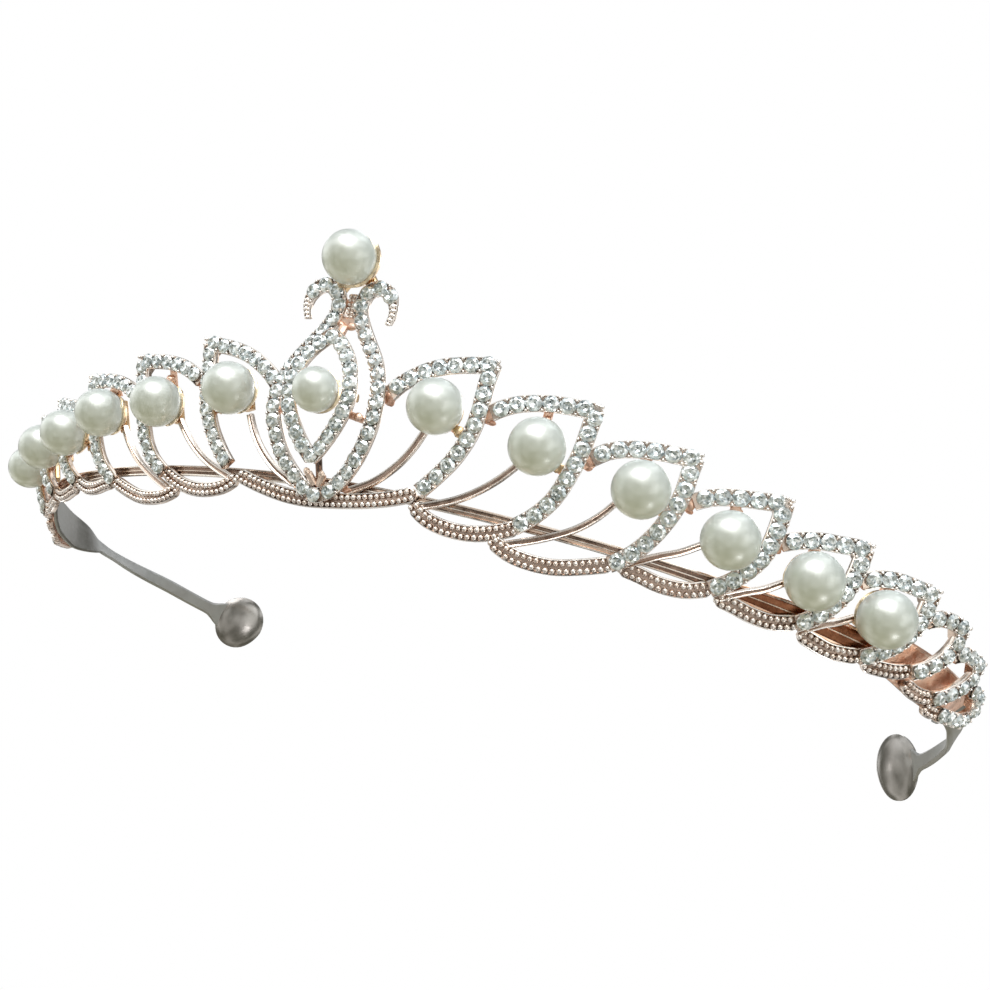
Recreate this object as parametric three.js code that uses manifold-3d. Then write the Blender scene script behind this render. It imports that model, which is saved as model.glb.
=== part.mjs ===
// Bridal tiara: a half-crown of rose-gold plated castings set with clear stones and
// imitation pearls, on an inner headband strip with two side arms that end in pads.
//
// Units are millimetres and +Z is up. The tiara stands on the lower edges of its third
// leaves and on its two pads, its convex front faces -Y, and X = 0 is the plane between
// its two halves.
//
// Every casting is drawn on a flat pattern and then bent, as the real one is. On the
// pattern s runs along the band from the centre towards one end, v runs up the crown
// from the foot line, and w runs outwards from the plane of the stones' tops.
import * as THREE from 'three';
import Module from 'manifold-3d';

// ---------------------------------------------------------------- driving dimensions
const PEARL_R = 4.0; // side and finial pearls, 8 mm
const CENTRE_PEARL_R = 3.3; // the smaller pearl in the marquise, 6.6 mm
const PEARL_W = 2.15; // how far a side pearl's centre stands out
const PEG_R = 0.4, PEG_HOLE_R = 0.6, PEG_LONG = 2.6; // peg of a cup, bore of a half-drilled pearl
const CUP_GAP = 0.1, CUP_THICK = 0.45, CUP_ANGLE = 50; // shell behind a pearl, degrees from its axis

const CHANNEL_WIDE = 2.35, CHANNEL_BACK = -1.5, CHANNEL_FRONT = -0.6; // stone channel of a casting
const STONE_WIDE = 2.0, STONE_NECK = 1.25, STONE_LOW = -0.45, STONE_HIGH = 0.35, STONE_SADDLE = -0.05;
const STONE_PITCH = 2.22;
const BEAD_WIDE = 1.9, BEAD_FRONT = -0.45; // beaded lower edge
const LEAF_OUT = 0.75; // how far the stone channels stand out from the foot line's plane
const STEM_WIDE = 1.0, STEM_BACK = -1.7, STEM_FRONT = -0.8;
const GAP = 0.15; // solder or glue line between two pieces
const SMOOTH = 0.03; // seams of joined bars are cleaned up to this

const BAND_BACK = -2.6, BAND_FRONT = -1.65; // inner headband strip, behind the castings
const BAND_END = 84;
const ARM_WIDE = 2.9, ARM_BACK = -2.65, ARM_FRONT = -1.65;
const PAD_LONG = 11.4, PAD_TALL = 12.2, PAD_THICK = 1.0;
const PAD_S = 160.2, PAD_V = 3.8;
const ARM_TWIST = 0.5; // at its root the arm's lower edge turns in, this much per millimetre of width
const PAD_TURN = (16 * Math.PI) / 180, PAD_JOIN = 3.7; // the pad closes in from the arm, which meets it this far before its middle

// Plan curve of the foot line: curvature (1/mm) at these distances from the centre.
const KAPPA_S = [0, 15, 30, 45, 60, 75, 90, 105, 120, 150, 185];
const KAPPA = [0.00605, 0.00744, 0.00839, 0.0089, 0.01066, 0.015, 0.02043, 0.02367, 0.0152, 0.00925, 0.00925];
// Outward lean of the crown from upright (degrees), and height of the foot line.
const LEAN_S = [0, 30, 60, 90, 120, 154, 185];
const LEAN = [18.9, 19.8, 23.5, 22.8, 14.7, -16, -16];
const FOOT_Z = [0.68, 0.2, -0.17, -0.41, -0.28, 0.0, 0.0];
const LEVEL = 0.15; // degrees: levels the third leaves' edges with the pads

// Leaves of one side, counted from the centre. top: stone channel from the solder lug to the
// tip. arm: stone channel from the tip down to the foot. edge: beaded lower edge.
// stem: wire from the foot to the pearl's cup. lugs: short straps from the cup to the channel.
const LEAVES = [
  {
    top: [[9.3, 16.4], [10.6, 17.9], [12.4, 19.3], [14.7, 20.7], [17.1, 21.6], [19.7, 22.2], [22.9, 22.7]],
    arm: [[23.1, 22.7], [22.8, 20.4], [22.7, 18.1], [22.6, 15.8], [22.1, 13.0], [21.2, 10.5], [20.2, 8.5], [19.1, 6.9], [17.9, 5.3], [16.4, 3.6]],
    stem: [[4.7, 1.7], [8.6, 3.8], [11.9, 6.9], [13.7, 9.6], [14.9, 12.2]],
    pearl: [16.9, 15.6], pearlL: [16.8, 14.8], lugs: [[[18.6, 13.6], [21.8, 12.2]]], tallL: 0.965,
  },
  {
    top: [[24.2, 16.3], [26.0, 17.5], [27.9, 18.4], [30.0, 19.0], [32.2, 19.4], [34.8, 19.6], [37.5, 19.7]],
    arm: [[37.6, 19.8], [37.4, 17.2], [37.2, 14.8], [36.9, 12.8], [36.4, 10.8], [35.8, 8.7], [35.0, 6.7], [33.9, 5.0], [32.5, 3.4], [30.7, 1.9]],
    edge: [[15.7, 1.4], [17.9, 0.1], [21.1, -0.55], [24.8, -0.4], [28.2, 0.6], [30.9, 1.9]],
    stem: [[16.3, 1.5], [21.0, 3.4], [23.8, 5.1], [26.7, 7.6], [29.4, 10.8]],
    pearl: [31.6, 13.2], pearlL: [31.6, 12.7], lugs: [[[33.3, 11.8], [36.2, 10.4]], [[31.4, 15.6], [31.6, 18.6]]],
  },
  {
    top: [[38.6, 13.5], [40.3, 14.9], [42.2, 15.8], [44.3, 16.4], [46.6, 16.8], [48.9, 17.0], [50.9, 17.2]],
    arm: [[51.1, 17.3], [51.0, 15.0], [51.0, 13.0], [50.7, 10.8], [50.0, 8.4], [49.1, 6.2], [48.1, 4.4], [46.9, 2.7], [45.7, 1.5], [44.4, 0.5]],
    edge: [[28.2, -0.8], [30.6, -1.8], [33.4, -2.2], [36.9, -2.05], [40.4, -1.1], [44.6, 0.5]],
    stem: [[29.8, -0.8], [35.0, 1.5], [38.7, 3.7], [41.4, 6.3], [43.4, 9.2]],
    pearl: [45.7, 11.3], pearlL: [46.0, 11.8], lugs: [[[47.4, 10.2], [49.9, 8.8]], [[45.4, 14.0], [45.5, 16.0]]], tallL: 1.04,
  },
  {
    top: [[52.5, 11.8], [54.3, 13.0], [56.6, 13.9], [59.0, 14.5], [61.3, 15.0], [63.0, 15.4]],
    arm: [[63.4, 15.5], [63.5, 13.3], [63.5, 11.0], [63.3, 8.8], [62.6, 6.8], [61.5, 5.0], [60.1, 3.2], [58.1, 1.5]],
    edge: [[46.3, 0.5], [48.4, 0.3], [51.7, -0.15], [55.2, 0.2], [58.3, 1.5]],
    stem: [[45.9, 0.6], [50.2, 3.3], [53.0, 4.8], [55.6, 6.8]],
    pearl: [58.1, 8.6], pearlL: [57.5, 9.7, 2.35], lugs: [[[59.9, 7.6], [62.4, 6.2]], [[57.9, 11.4], [58.0, 13.6]]], tallL: 1.02,
  },
  {
    top: [[64.7, 10.5], [66.8, 11.7], [69.2, 12.6], [71.5, 13.1], [73.6, 13.6], [74.6, 13.8]],
    arm: [[75.1, 14.0], [75.3, 11.8], [75.3, 9.7], [75.1, 7.8], [74.4, 5.8], [73.4, 4.1], [72.2, 2.4], [70.7, 1.2]],
    edge: [[59.8, 0.6], [61.8, 0.4], [64.6, 0.0], [67.7, 0.1], [71.0, 1.2]],
    stem: [[59.8, 0.7], [63.0, 2.6], [65.2, 3.8], [67.4, 5.6]],
    pearl: [69.9, 7.4], pearlL: [68.6, 8.95, 2.45], lugs: [[[71.6, 6.5], [74.1, 5.2]], [[69.4, 10.3], [69.4, 11.9]]], tallL: 1.1,
  },
  {
    top: [[76.5, 9.8], [78.5, 11.1], [80.8, 11.9], [83.2, 12.2], [85.1, 12.4], [86.0, 12.6]],
    arm: [[86.7, 12.7], [86.9, 10.9], [87.0, 8.9], [86.6, 6.8], [85.6, 4.7], [84.4, 2.9], [82.9, 1.4], [81.4, 0.5]],
    edge: [[72.4, 0.0], [74.4, -0.3], [77.0, -0.55], [79.6, -0.1], [81.7, 0.5]],
    stem: [[72.0, 0.4], [74.6, 2.3], [76.7, 3.5], [78.6, 5.0]],
    pearl: [81.0, 6.6], pearlL: [80.9, 8.0, 2.4], lugs: [[[82.7, 5.9], [85.4, 4.9]], [[80.7, 9.4], [80.8, 11.1]]], tallL: 1.12,
  },
  {
    top: [[88.0, 9.1], [89.7, 10.3], [91.9, 10.8], [94.1, 10.8]],
    arm: [[94.6, 10.7], [94.7, 9.0], [94.4, 7.0], [93.4, 5.0], [92.0, 3.3], [90.4, 1.9]],
    edge: [[83.2, -0.1], [85.2, 0.15], [88.4, 0.9], [90.6, 1.9]],
  },
  {
    top: [[95.8, 7.1], [97.5, 8.1], [99.7, 8.4], [101.8, 8.2]],
    arm: [[102.3, 8.2], [102.4, 6.5], [101.5, 4.7], [100.2, 2.9], [99.0, 1.5], [97.0, 0.3]],
    edge: [[91.5, 0.0], [93.3, -0.3], [95.2, -0.2], [97.2, 0.3]],
  },
  {
    top: [[103.5, 4.7], [105.2, 5.0], [107.0, 4.9]],
    arm: [[107.5, 4.8], [108.5, 3.6], [108.7, 2.1], [107.7, 0.8], [105.6, 0.1], [103.0, -0.4], [100.2, -0.9]],
    edge: [[97.6, -1.2], [99.0, -1.2], [100.5, -0.9]],
  },
];

// Centre ornament: half-width, height and outward doming of the outer arm, then its hook.
const CENTRE_ARM = [
  [1.25, 0.7, 0.15], [2.4, 1.4, 0.2], [4.1, 3.1, 0.6], [5.6, 5.0, 1.25], [6.7, 7.0, 1.65], [7.45, 9.0, 1.95], [8.0, 11.0, 2.2], [8.2, 13.0, 2.2],
  [8.15, 15.0, 2.0], [7.75, 17.0, 1.6], [7.0, 19.0, 1.05], [5.9, 21.0, 0.6], [4.5, 23.0, 0.3], [3.1, 25.0, 0.0], [2.05, 27.0, -0.1],
  [1.8, 28.6, -0.1], [2.3, 30.3, 0.0], [3.5, 31.3, 0.0], [4.8, 31.4, 0.0], [6.0, 30.7, 0.0], [6.8, 29.4, 0.0], [7.0, 27.9, 0.0], [6.6, 26.4, 0.0],
];
const MARQUISE = [
  [0.0, 5.4, 2.9], [1.4, 7.0, 3.25], [2.75, 9.0, 3.6], [3.8, 11.0, 3.85], [4.55, 13.0, 4.0], [4.85, 15.0, 4.0],
  [4.65, 17.0, 3.9], [4.0, 19.0, 3.65], [2.75, 21.0, 3.3], [1.2, 22.6, 3.05], [0.0, 23.5, 2.95],
];
const BASE_EDGE = [[-14.6, 2.0], [-11.0, 0.95], [-7.4, 0.15], [-4.4, -0.25], [-1.0, -0.35], [3.0, 0.05], [7.6, 0.8], [11.6, 1.8], [14.9, 3.0]];
const TOP_PEARL_V = 35.1, CENTRE_PEARL_V = 15.0, CENTRE_PEARL_W = 4.7;

const ROSE_GOLD = { color: 0xc9977c, roughness: 0.28, metalness: 1.0 };
const GREY_METAL = { color: 0x8b8780, roughness: 0.3, metalness: 1.0 };
const STONE = { color: 0xdfe6ea, roughness: 0.08, metalness: 0.0 };
const PEARL = { color: 0xe9e8da, roughness: 0.3, metalness: 0.0 };

// ------------------------------------------------------------------ the bent surface
const STEP = 0.5;
const along = [];
{
  let x = 0, y = 0, a = 0;
  for (let i = 0; i * STEP <= 185; i++) {
    along.push([x, y, a]);
    const k = lerpTable(KAPPA_S, KAPPA, (i + 0.5) * STEP);
    const mid = a + (k * STEP) / 2;
    x += Math.cos(mid) * STEP;
    y += Math.sin(mid) * STEP;
    a += k * STEP;
  }
}
function lerpTable(xs, ys, x) {
  if (x <= xs[0]) return ys[0];
  for (let i = 1; i < xs.length; i++)
    if (x <= xs[i]) return ys[i - 1] + ((ys[i] - ys[i - 1]) * (x - xs[i - 1])) / (xs[i] - xs[i - 1]);
  return ys[ys.length - 1];
}
// The pattern point (s, v, w) of the half with x > 0, bent into place. s may be negative.
function bend(s, v, w) {
  const sign = s < 0 ? -1 : 1, t = Math.abs(s) / STEP;
  const i = Math.min(Math.floor(t), along.length - 2), f = t - i;
  const [x0, y0, a0] = along[i], [x1, y1, a1] = along[i + 1];
  const x = x0 + (x1 - x0) * f, y = y0 + (y1 - y0) * f, a = a0 + (a1 - a0) * f;
  const lean = (lerpTable(LEAN_S, LEAN, Math.abs(s)) * Math.PI) / 180;
  const z0 = lerpTable(LEAN_S, FOOT_Z, Math.abs(s));
  const out = v * Math.sin(lean) + w * Math.cos(lean);
  return [sign * (x + out * Math.sin(a)), y - out * Math.cos(a), z0 + v * Math.cos(lean) - w * Math.sin(lean)];
}

// -------------------------------------------------------------------------- solids
const wasm = await Module();
wasm.setup();
const { Manifold, Mesh: MfMesh } = wasm;

function solid(verts, tris) {
  const made = new Manifold(new MfMesh({ numProp: 3, vertProperties: new Float32Array(verts.flat()), triVerts: new Uint32Array(tris.flat()) }));
  if (made.volume() >= 0) return made;
  return new Manifold(new MfMesh({ numProp: 3, vertProperties: new Float32Array(verts.flat()), triVerts: new Uint32Array(tris.map(([a, b, c]) => [a, c, b]).flat()) }));
}
function spline(points, count) {
  const curve = new THREE.CatmullRomCurve3(points.map((p) => new THREE.Vector3(p[0], p[1], p[2] ?? 0)), false, 'centripetal');
  curve.arcLengthDivisions = 400;
  return curve.getSpacedPoints(count).map((p) => [p.x, p.y, p.z]);
}
function lengthOf(points) {
  let total = 0;
  for (let i = 1; i < points.length; i++)
    total += Math.hypot(points[i][0] - points[i - 1][0], points[i][1] - points[i - 1][1], (points[i][2] ?? 0) - (points[i - 1][2] ?? 0));
  return total;
}
// A bar swept along a path on the pattern, then bent. ring(i, n) gives the section there as
// [across, outward] pairs, counter-clockwise when looking back along the path.
function sweep(path, ring) {
  const verts = [], tris = [], n = path.length, m = ring(0, n).length;
  for (let i = 0; i < n; i++) {
    const a = path[Math.max(i - 1, 0)], b = path[Math.min(i + 1, n - 1)];
    const len = Math.hypot(b[0] - a[0], b[1] - a[1]) || 1;
    const ns = -(b[1] - a[1]) / len, nv = (b[0] - a[0]) / len;
    for (const [across, outward] of ring(i, n))
      verts.push(bend(path[i][0] + across * ns, path[i][1] + across * nv, path[i][2] + outward));
  }
  for (let i = 0; i + 1 < n; i++)
    for (let j = 0; j < m; j++) {
      const k = (j + 1) % m, p = i * m;
      tris.push([p + j, p + k, p + m + k], [p + j, p + m + k, p + m + j]);
    }
  for (let j = 1; j + 1 < m; j++) {
    tris.push([0, j + 1, j]);
    const e = (n - 1) * m;
    tris.push([e, e + j, e + j + 1]);
  }
  return solid(verts, tris);
}
const box = (wide, low, high, more = 0) => {
  const h = wide / 2 + more;
  return [[-h, low - more], [h, low - more], [h, high + more], [-h, high + more]];
};
// Stretches both ends of a path by d.
function stretch(path, d) {
  const out = path.map((p) => [...p]);
  for (const [e, q] of [[0, 1], [path.length - 1, path.length - 2]]) {
    const len = lengthOf([path[e], path[q]]) || 1;
    for (let c = 0; c < 3; c++) out[e][c] += ((path[e][c] - path[q][c]) * d) / len;
  }
  return out;
}
const flat = (points, w = 0) => points.map(([s, v, ww]) => [s, v, (ww ?? 0) + w]);
function bar(points, wide, low, high, pitch, more = 0, taper = 0) {
  const count = Math.max(2, Math.round(lengthOf(points) / pitch));
  let path = spline(flat(points), count);
  if (more) path = stretch(path, more);
  return sweep(path, (i, n) => box(taper ? wide * (1 - (1 - taper) * THREE.MathUtils.smoothstep(i / (n - 1), 0.8, 1)) : wide, low, high, more));
}
// Local frame at a pattern point, for round and flat pieces: along s, up v, outwards w.
function frameAt(s, v, w) {
  const o = new THREE.Vector3(...bend(s, v, w));
  const ds = new THREE.Vector3(...bend(s + 0.5, v, w)).sub(new THREE.Vector3(...bend(s - 0.5, v, w)));
  const dw = new THREE.Vector3(...bend(s, v, w + 1)).sub(o).normalize();
  ds.addScaledVector(dw, -ds.dot(dw)).normalize();
  const dv = new THREE.Vector3().crossVectors(dw, ds);
  return new THREE.Matrix4().makeBasis(ds, dv, dw).setPosition(o);
}
function fromThree(geometry, matrix) {
  const g = geometry.clone();
  g.deleteAttribute('normal');
  g.deleteAttribute('uv');
  const pos = g.attributes.position, verts = [], tris = [], seen = new Map(), index = [];
  const p = new THREE.Vector3();
  for (let i = 0; i < pos.count; i++) {
    p.fromBufferAttribute(pos, i);
    const key = `${p.x.toFixed(5)},${p.y.toFixed(5)},${p.z.toFixed(5)}`.replaceAll('-0.00000', '0.00000');
    if (!seen.has(key)) {
      seen.set(key, verts.length);
      const q = p.clone().applyMatrix4(matrix);
      verts.push([q.x, q.y, q.z]);
    }
    index.push(seen.get(key));
  }
  const list = g.index ? Array.from(g.index.array) : index.map((_, i) => i);
  for (let i = 0; i < list.length; i += 3) {
    const t = [index[list[i]], index[list[i + 1]], index[list[i + 2]]];
    if (t[0] !== t[1] && t[1] !== t[2] && t[2] !== t[0]) tris.push(t);
  }
  return solid(verts, tris);
}
// A body of revolution about the outward axis of a local frame, from (radius, outward) pairs
// that start and end on the axis.
function turned(profile, sides, matrix) {
  const g = new THREE.LatheGeometry(profile.map(([r, w]) => new THREE.Vector2(r, w)), sides);
  g.rotateX(Math.PI / 2);
  return fromThree(g, matrix);
}
function pearlAt(s, v, w, r) {
  const m = frameAt(s, v, w);
  const ball = fromThree(new THREE.SphereGeometry(r, 12, 8).rotateX(Math.PI / 2), m);
  const bore = turned([[0, -r - 1], [PEG_HOLE_R, -r - 1], [PEG_HOLE_R, -r + PEG_LONG + 0.35], [0, -r + PEG_LONG + 0.35]], 6, m);
  return ball.subtract(bore);
}
function cupAt(s, v, w, r, angle = CUP_ANGLE) {
  const m = frameAt(s, v, w), inner = (r + CUP_GAP) / Math.cos(Math.PI / 10), outer = inner + CUP_THICK, pts = [];
  pts.push([0, -outer]);
  for (const i of [1, 2]) pts.push([outer * Math.sin((angle * i * Math.PI) / 360), -outer * Math.cos((angle * i * Math.PI) / 360)]);
  for (const i of [2, 1]) pts.push([inner * Math.sin((angle * i * Math.PI) / 360), -inner * Math.cos((angle * i * Math.PI) / 360)]);
  pts.push([PEG_R, -inner * 0.995], [PEG_R, -r + PEG_LONG], [0, -r + PEG_LONG]);
  return turned(pts, 10, m);
}
function stones(points, pitch = STONE_PITCH) {
  const length = lengthOf(points), count = Math.max(2, Math.round(length / pitch));
  const path = spline(flat(points), count * 2);
  return sweep(path, (i, n) => {
    const mid = i % 2 === 1, half = (mid ? STONE_WIDE : STONE_NECK) / 2, top = half * (mid ? 0.66 : 0.8);
    const high = mid ? STONE_HIGH : STONE_SADDLE;
    return [[-half, STONE_LOW], [half, STONE_LOW], [top, high], [-top, high]];
  });
}
const biggest = (m) => {
  const one = m.decompose().sort((a, b) => b.volume() - a.volume())[0];
  return one.simplify ? one.simplify(SMOOTH) : one;
};

// -------------------------------------------------------------------------- pieces
const pieces = new Map();
const put = (name, manifold, finish) => pieces.set(name, { manifold, finish });

const centreArm = (side, more = 0) => bar(CENTRE_ARM.map(([s, v, w]) => [s * side, v, w]), CHANNEL_WIDE - 0.1, CHANNEL_BACK + 0.2, CHANNEL_FRONT - 0.15, 2.1, more, 0.4);
const marquiseRing = (side, more = 0) => bar(MARQUISE.map(([s, v, w]) => [s * side, v, w]), CHANNEL_WIDE - 0.3, CHANNEL_BACK + 0.3, CHANNEL_FRONT - 0.15, 2.0, more);
const baseEdge = (more = 0) => bar(BASE_EDGE, BEAD_WIDE, CHANNEL_BACK, BEAD_FRONT, 3.0, more);
const short = (a, b, wide, low, high) => sweep([[...a.slice(0, 2), a[2] ?? 0], [...b.slice(0, 2), b[2] ?? 0]], () => box(wide, low, high));

// Centre base, then the centre frame that stands on it, then the marquise inside.
const base = baseEdge();
let centre = centreArm(1).add(centreArm(-1));
centre = centre.add(short([-1.9, 26.2], [1.9, 26.2], 1.5, -1.7, -0.75)); // cross bar of the neck
centre = centre.add(short([0, 26.0], [0, 30.2], 1.1, -1.6, -0.8)).add(short([-1.9, 29.0], [1.9, 29.0], 1.2, -1.7, -0.8)); // textured upright
centre = centre.add(short([-2.6, 1.2, 0.1], [2.6, 1.2, 0.1], 2.2, -1.7, -0.6)); // foot between the arms
centre = centre.subtract(baseEdge(GAP));
put('centre_base_edge', base, ROSE_GOLD);

// Marquise frame: a closed ring of two bars, a cup on a cross strap, a foot and a tie to the neck.
let marquise = marquiseRing(1).add(marquiseRing(-1));
marquise = marquise.add(short([-4.0, CENTRE_PEARL_V, 3.6], [4.0, CENTRE_PEARL_V, 3.6], 1.2, -3.3, -2.65));
marquise = marquise.add(short([3.7, CENTRE_PEARL_V, 3.6], [4.9, CENTRE_PEARL_V, 3.9], 1.2, -3.3, -0.75)).add(short([-4.9, CENTRE_PEARL_V, 3.9], [-3.7, CENTRE_PEARL_V, 3.6], 1.2, -3.3, -0.75));
marquise = marquise.add(cupAt(0, CENTRE_PEARL_V, CENTRE_PEARL_W, CENTRE_PEARL_R, 46));
marquise = marquise.add(sweep([[0, 6.6, 2.3], [0, 4.3, 1.4], [0, 2.7, 0.7]], () => box(1.5, -1.6, -0.3))); // foot
marquise = marquise.add(sweep([[0, 22.6, 1.9], [0, 24.6, 0.9], [0, 25.6, 0.25]], () => box(1.3, -0.9, 0.2))); // tie to the neck
for (const side of [1, -1]) marquise = marquise.add(short([side * 4.6, 12.4, 3.3], [side * 7.0, 12.0, 2.7], 1.1, -1.6, -0.9));
centre = biggest(centre);
const centreFat = centreArm(1, GAP).add(centreArm(-1, GAP))
  .add(sweep([[-2.2, 26.2, 0], [2.2, 26.2, 0]], () => box(1.5, -1.7, -0.75, GAP)))
  .add(sweep([[0, 25.85, 0], [0, 30.4, 0]], () => box(1.1, -1.6, -0.8, GAP)))
  .add(sweep([[-2.9, 1.2, 0.1], [2.9, 1.2, 0.1]], () => box(2.2, -1.7, -0.6, GAP)));
marquise = biggest(marquise.subtract(centreFat).subtract(baseEdge(GAP)));
put('centre_frame', centre, ROSE_GOLD);
put('marquise_frame', marquise, ROSE_GOLD);

// Finial cup on two brackets that stand on the hooks.
const pearlRoom = (s, v, w, r) => fromThree(new THREE.SphereGeometry(r + 0.2, 12, 8).rotateX(Math.PI / 2), frameAt(s, v, w));
let finial = sweep([[1.4, 33.6, 0], [2.5, 32.0, 0], [3.0, 30.9, 0]], () => box(1.1, -3.0, -1.85))
  .add(sweep([[-1.4, 33.6, 0], [-2.5, 32.0, 0], [-3.0, 30.9, 0]], () => box(1.1, -3.0, -1.85)));
finial = finial.subtract(centreFat).subtract(pearlRoom(0, TOP_PEARL_V, PEARL_W, PEARL_R)).add(cupAt(0, TOP_PEARL_V, PEARL_W, PEARL_R, 60));
put('finial_cup', biggest(finial), ROSE_GOLD);

// Headband strip: narrow at the front, wider towards its ends.
const bandPath = [];
for (let s = -BAND_END; s <= BAND_END + 0.01; s += 4) bandPath.push([s, 2.3 + 0.1 * Math.cos(s / 30), 0]);
const bandWide = (s) => 1.9 + 1.5 * THREE.MathUtils.smoothstep(Math.abs(s), 50, 80);
put('headband_strip', sweep(bandPath, (i) => box(bandWide(bandPath[i][0]), BAND_BACK, BAND_FRONT)), ROSE_GOLD);

// Side arms: a plate behind the last leaves, a lobe, a narrow arm and a flat pad.
function padAt(more = 0) {
  const m = frameAt(PAD_S, PAD_V, (ARM_BACK + ARM_FRONT) / 2).multiply(new THREE.Matrix4().makeRotationY(PAD_TURN)), pts = [];
  for (let i = 0; i < 20; i++) {
    const a = (i / 20) * 2 * Math.PI;
    pts.push(new THREE.Vector2((PAD_LONG / 2 + more) * Math.cos(a), (PAD_TALL / 2 + more) * Math.sin(a)));
  }
  const g = new THREE.ExtrudeGeometry(new THREE.Shape(pts), { depth: PAD_THICK, bevelEnabled: false }).translate(0, 0, -PAD_THICK / 2);
  return fromThree(g, m);
}
const plate = [];
for (let s = BAND_END + 0.4; s <= 113.3; s += 2.05) plate.push([s, 2.7 - 0.5 * THREE.MathUtils.smoothstep(s, 86, 96), 0]);
const plateWide = (s) => (6.0 + 1.0 * THREE.MathUtils.smoothstep(s, 86, 96)) * Math.sqrt(Math.max(0.12, 1 - Math.max(0, (s - 106.5) / 7.6) ** 2)) * (s < 88 ? 0.62 + (s - BAND_END) * 0.095 : 1);
const arm = [];
for (let k = 0; k <= 14; k++) {
  const s = 111.0 + (k / 14) * (PAD_S - PAD_JOIN - 111.0);
  arm.push([s, 2.4 + 1.3 * THREE.MathUtils.smoothstep(s, 118, 142), PAD_JOIN * Math.tan(PAD_TURN) * THREE.MathUtils.smoothstep(s, 136, 157)]);
}
function twisted(ring, s) {
  const k = ARM_TWIST * THREE.MathUtils.smoothstep(s, 104, 113) * (1 - THREE.MathUtils.smoothstep(s, 118, 142));
  const pivot = 3.5 - 1.3 * THREE.MathUtils.smoothstep(s, 109, 115);
  return ring.map(([across, outward]) => [across, outward + k * (across - pivot)]);
}
let sideArm = sweep(plate, (i) => twisted(box(plateWide(plate[i][0]), BAND_BACK, BAND_FRONT), plate[i][0]))
  .add(sweep(arm, (i) => twisted(box(ARM_WIDE + 1.1 * (1 - THREE.MathUtils.smoothstep(arm[i][0], 111, 121)), ARM_BACK, ARM_FRONT), arm[i][0])))
  .add(padAt());

// Leaves of one side. mirror is -1 for the other side, whose outer pearls sit higher.
const lifted = (pts) => pts.map(([s, v]) => [s, v, 0.1 + LEAF_OUT * THREE.MathUtils.smoothstep(v, 0.5, 4.5)]);
const channel = (pts, more = 0, taper = 0) => bar(lifted(pts), CHANNEL_WIDE, CHANNEL_BACK, CHANNEL_FRONT, 2.9, more, taper);
// One leaf's pattern on one side. Two outer leaves of the left side stand a little taller.
function pattern(i, left) {
  const d = LEAVES[i], tall = left ? d.tallL ?? 1 : 1;
  if (!left || (!d.tallL && !d.pearlL)) return d;
  const up = ([s, v]) => [s, v * tall];
  return { ...d, top: d.top.map(up), arm: d.arm.map(up), lugs: d.lugs.map((l) => l.map(up)) };
}
function leaf(i, left) {
  const d = pattern(i, left), pearl = left ? d.pearlL ?? d.pearl : d.pearl;
  const dv = pearl ? [pearl[0] - d.pearl[0], pearl[1] - d.pearl[1]] : [0, 0];
  let f = channel(d.top).add(channel(d.arm));
  if (d.edge) f = f.add(bar(d.edge, BEAD_WIDE, CHANNEL_BACK, BEAD_FRONT, 3.0));
  // a fillet of metal under the tip, where the two channels meet in a point
  const t = d.arm[0], tip = [t[0] + 0.4, t[1] + 0.45];
  f = f.add(sweep(lifted([[t[0] - 1.4, t[1] - 1.1], tip]), (k) => box(k ? 0.9 : 2.2, CHANNEL_BACK, CHANNEL_FRONT)));
  if (d.stem) {
    const moved = d.stem.map(([s, v], k) => [s + (dv[0] * k) / (d.stem.length - 1), v + (dv[1] * k) / (d.stem.length - 1)]);
    f = f.add(bar(moved.map(([s, v], k) => [s, v, k === 0 ? 0.2 : 0]), STEM_WIDE, STEM_BACK + 0.15, STEM_FRONT, 2.6));
    for (const [a, b] of d.lugs) f = f.add(short([a[0] + dv[0], a[1] + dv[1], -0.1], [b[0], b[1], 0.6], 1.3, CHANNEL_BACK + 0.1, CHANNEL_FRONT - 0.1));
    const pw = pearl[2] ?? PEARL_W;
    if (pw > PEARL_W) f = f.add(turned([[0, pw - PEARL_W - 4.9 + 0.3], [1.3, pw - PEARL_W - 4.9 + 0.3], [1.3, -3.6], [0, -3.6]].map(([r, w]) => [r, w - (pw - PEARL_W)]), 6, frameAt(pearl[0], pearl[1], pw)));
    f = f.subtract(pearlRoom(pearl[0], pearl[1], pw, PEARL_R)).add(cupAt(pearl[0], pearl[1], pw, PEARL_R));
  }
  // solder lug towards the frame before it
  const [l, l2] = d.top;
  const back = [l[0] - (l2[0] - l[0]) * 0.75, l[1] - (l2[1] - l[1]) * 0.75];
  f = f.add(short([back[0], back[1], 0.75], [l[0] + 0.5, l[1] + 0.4, 0.75], 1.9, CHANNEL_BACK + 0.1, CHANNEL_FRONT - 0.1));
  // room for the neighbours towards the centre
  if (i === 0) f = f.subtract(centreFat).subtract(baseEdge(GAP));
  else {
    const p = pattern(i - 1, left);
    f = f.subtract(channel(p.arm, GAP)).subtract(channel(p.top, GAP));
    if (p.edge) f = f.subtract(bar(p.edge, BEAD_WIDE, CHANNEL_BACK, BEAD_FRONT, 3.0, GAP));
    else f = f.subtract(baseEdge(GAP));
    const pt = p.arm[0];
    f = f.subtract(sweep(lifted([[pt[0] - 1.4, pt[1] - 1.1], [pt[0] + 0.55, pt[1] + 0.6]]), () => box(2.2, CHANNEL_BACK, CHANNEL_FRONT, GAP)));
    if (i > 1) f = f.subtract(channel(pattern(i - 2, left).arm, GAP));
  }
  return { frame: biggest(f), pearl };
}
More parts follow.
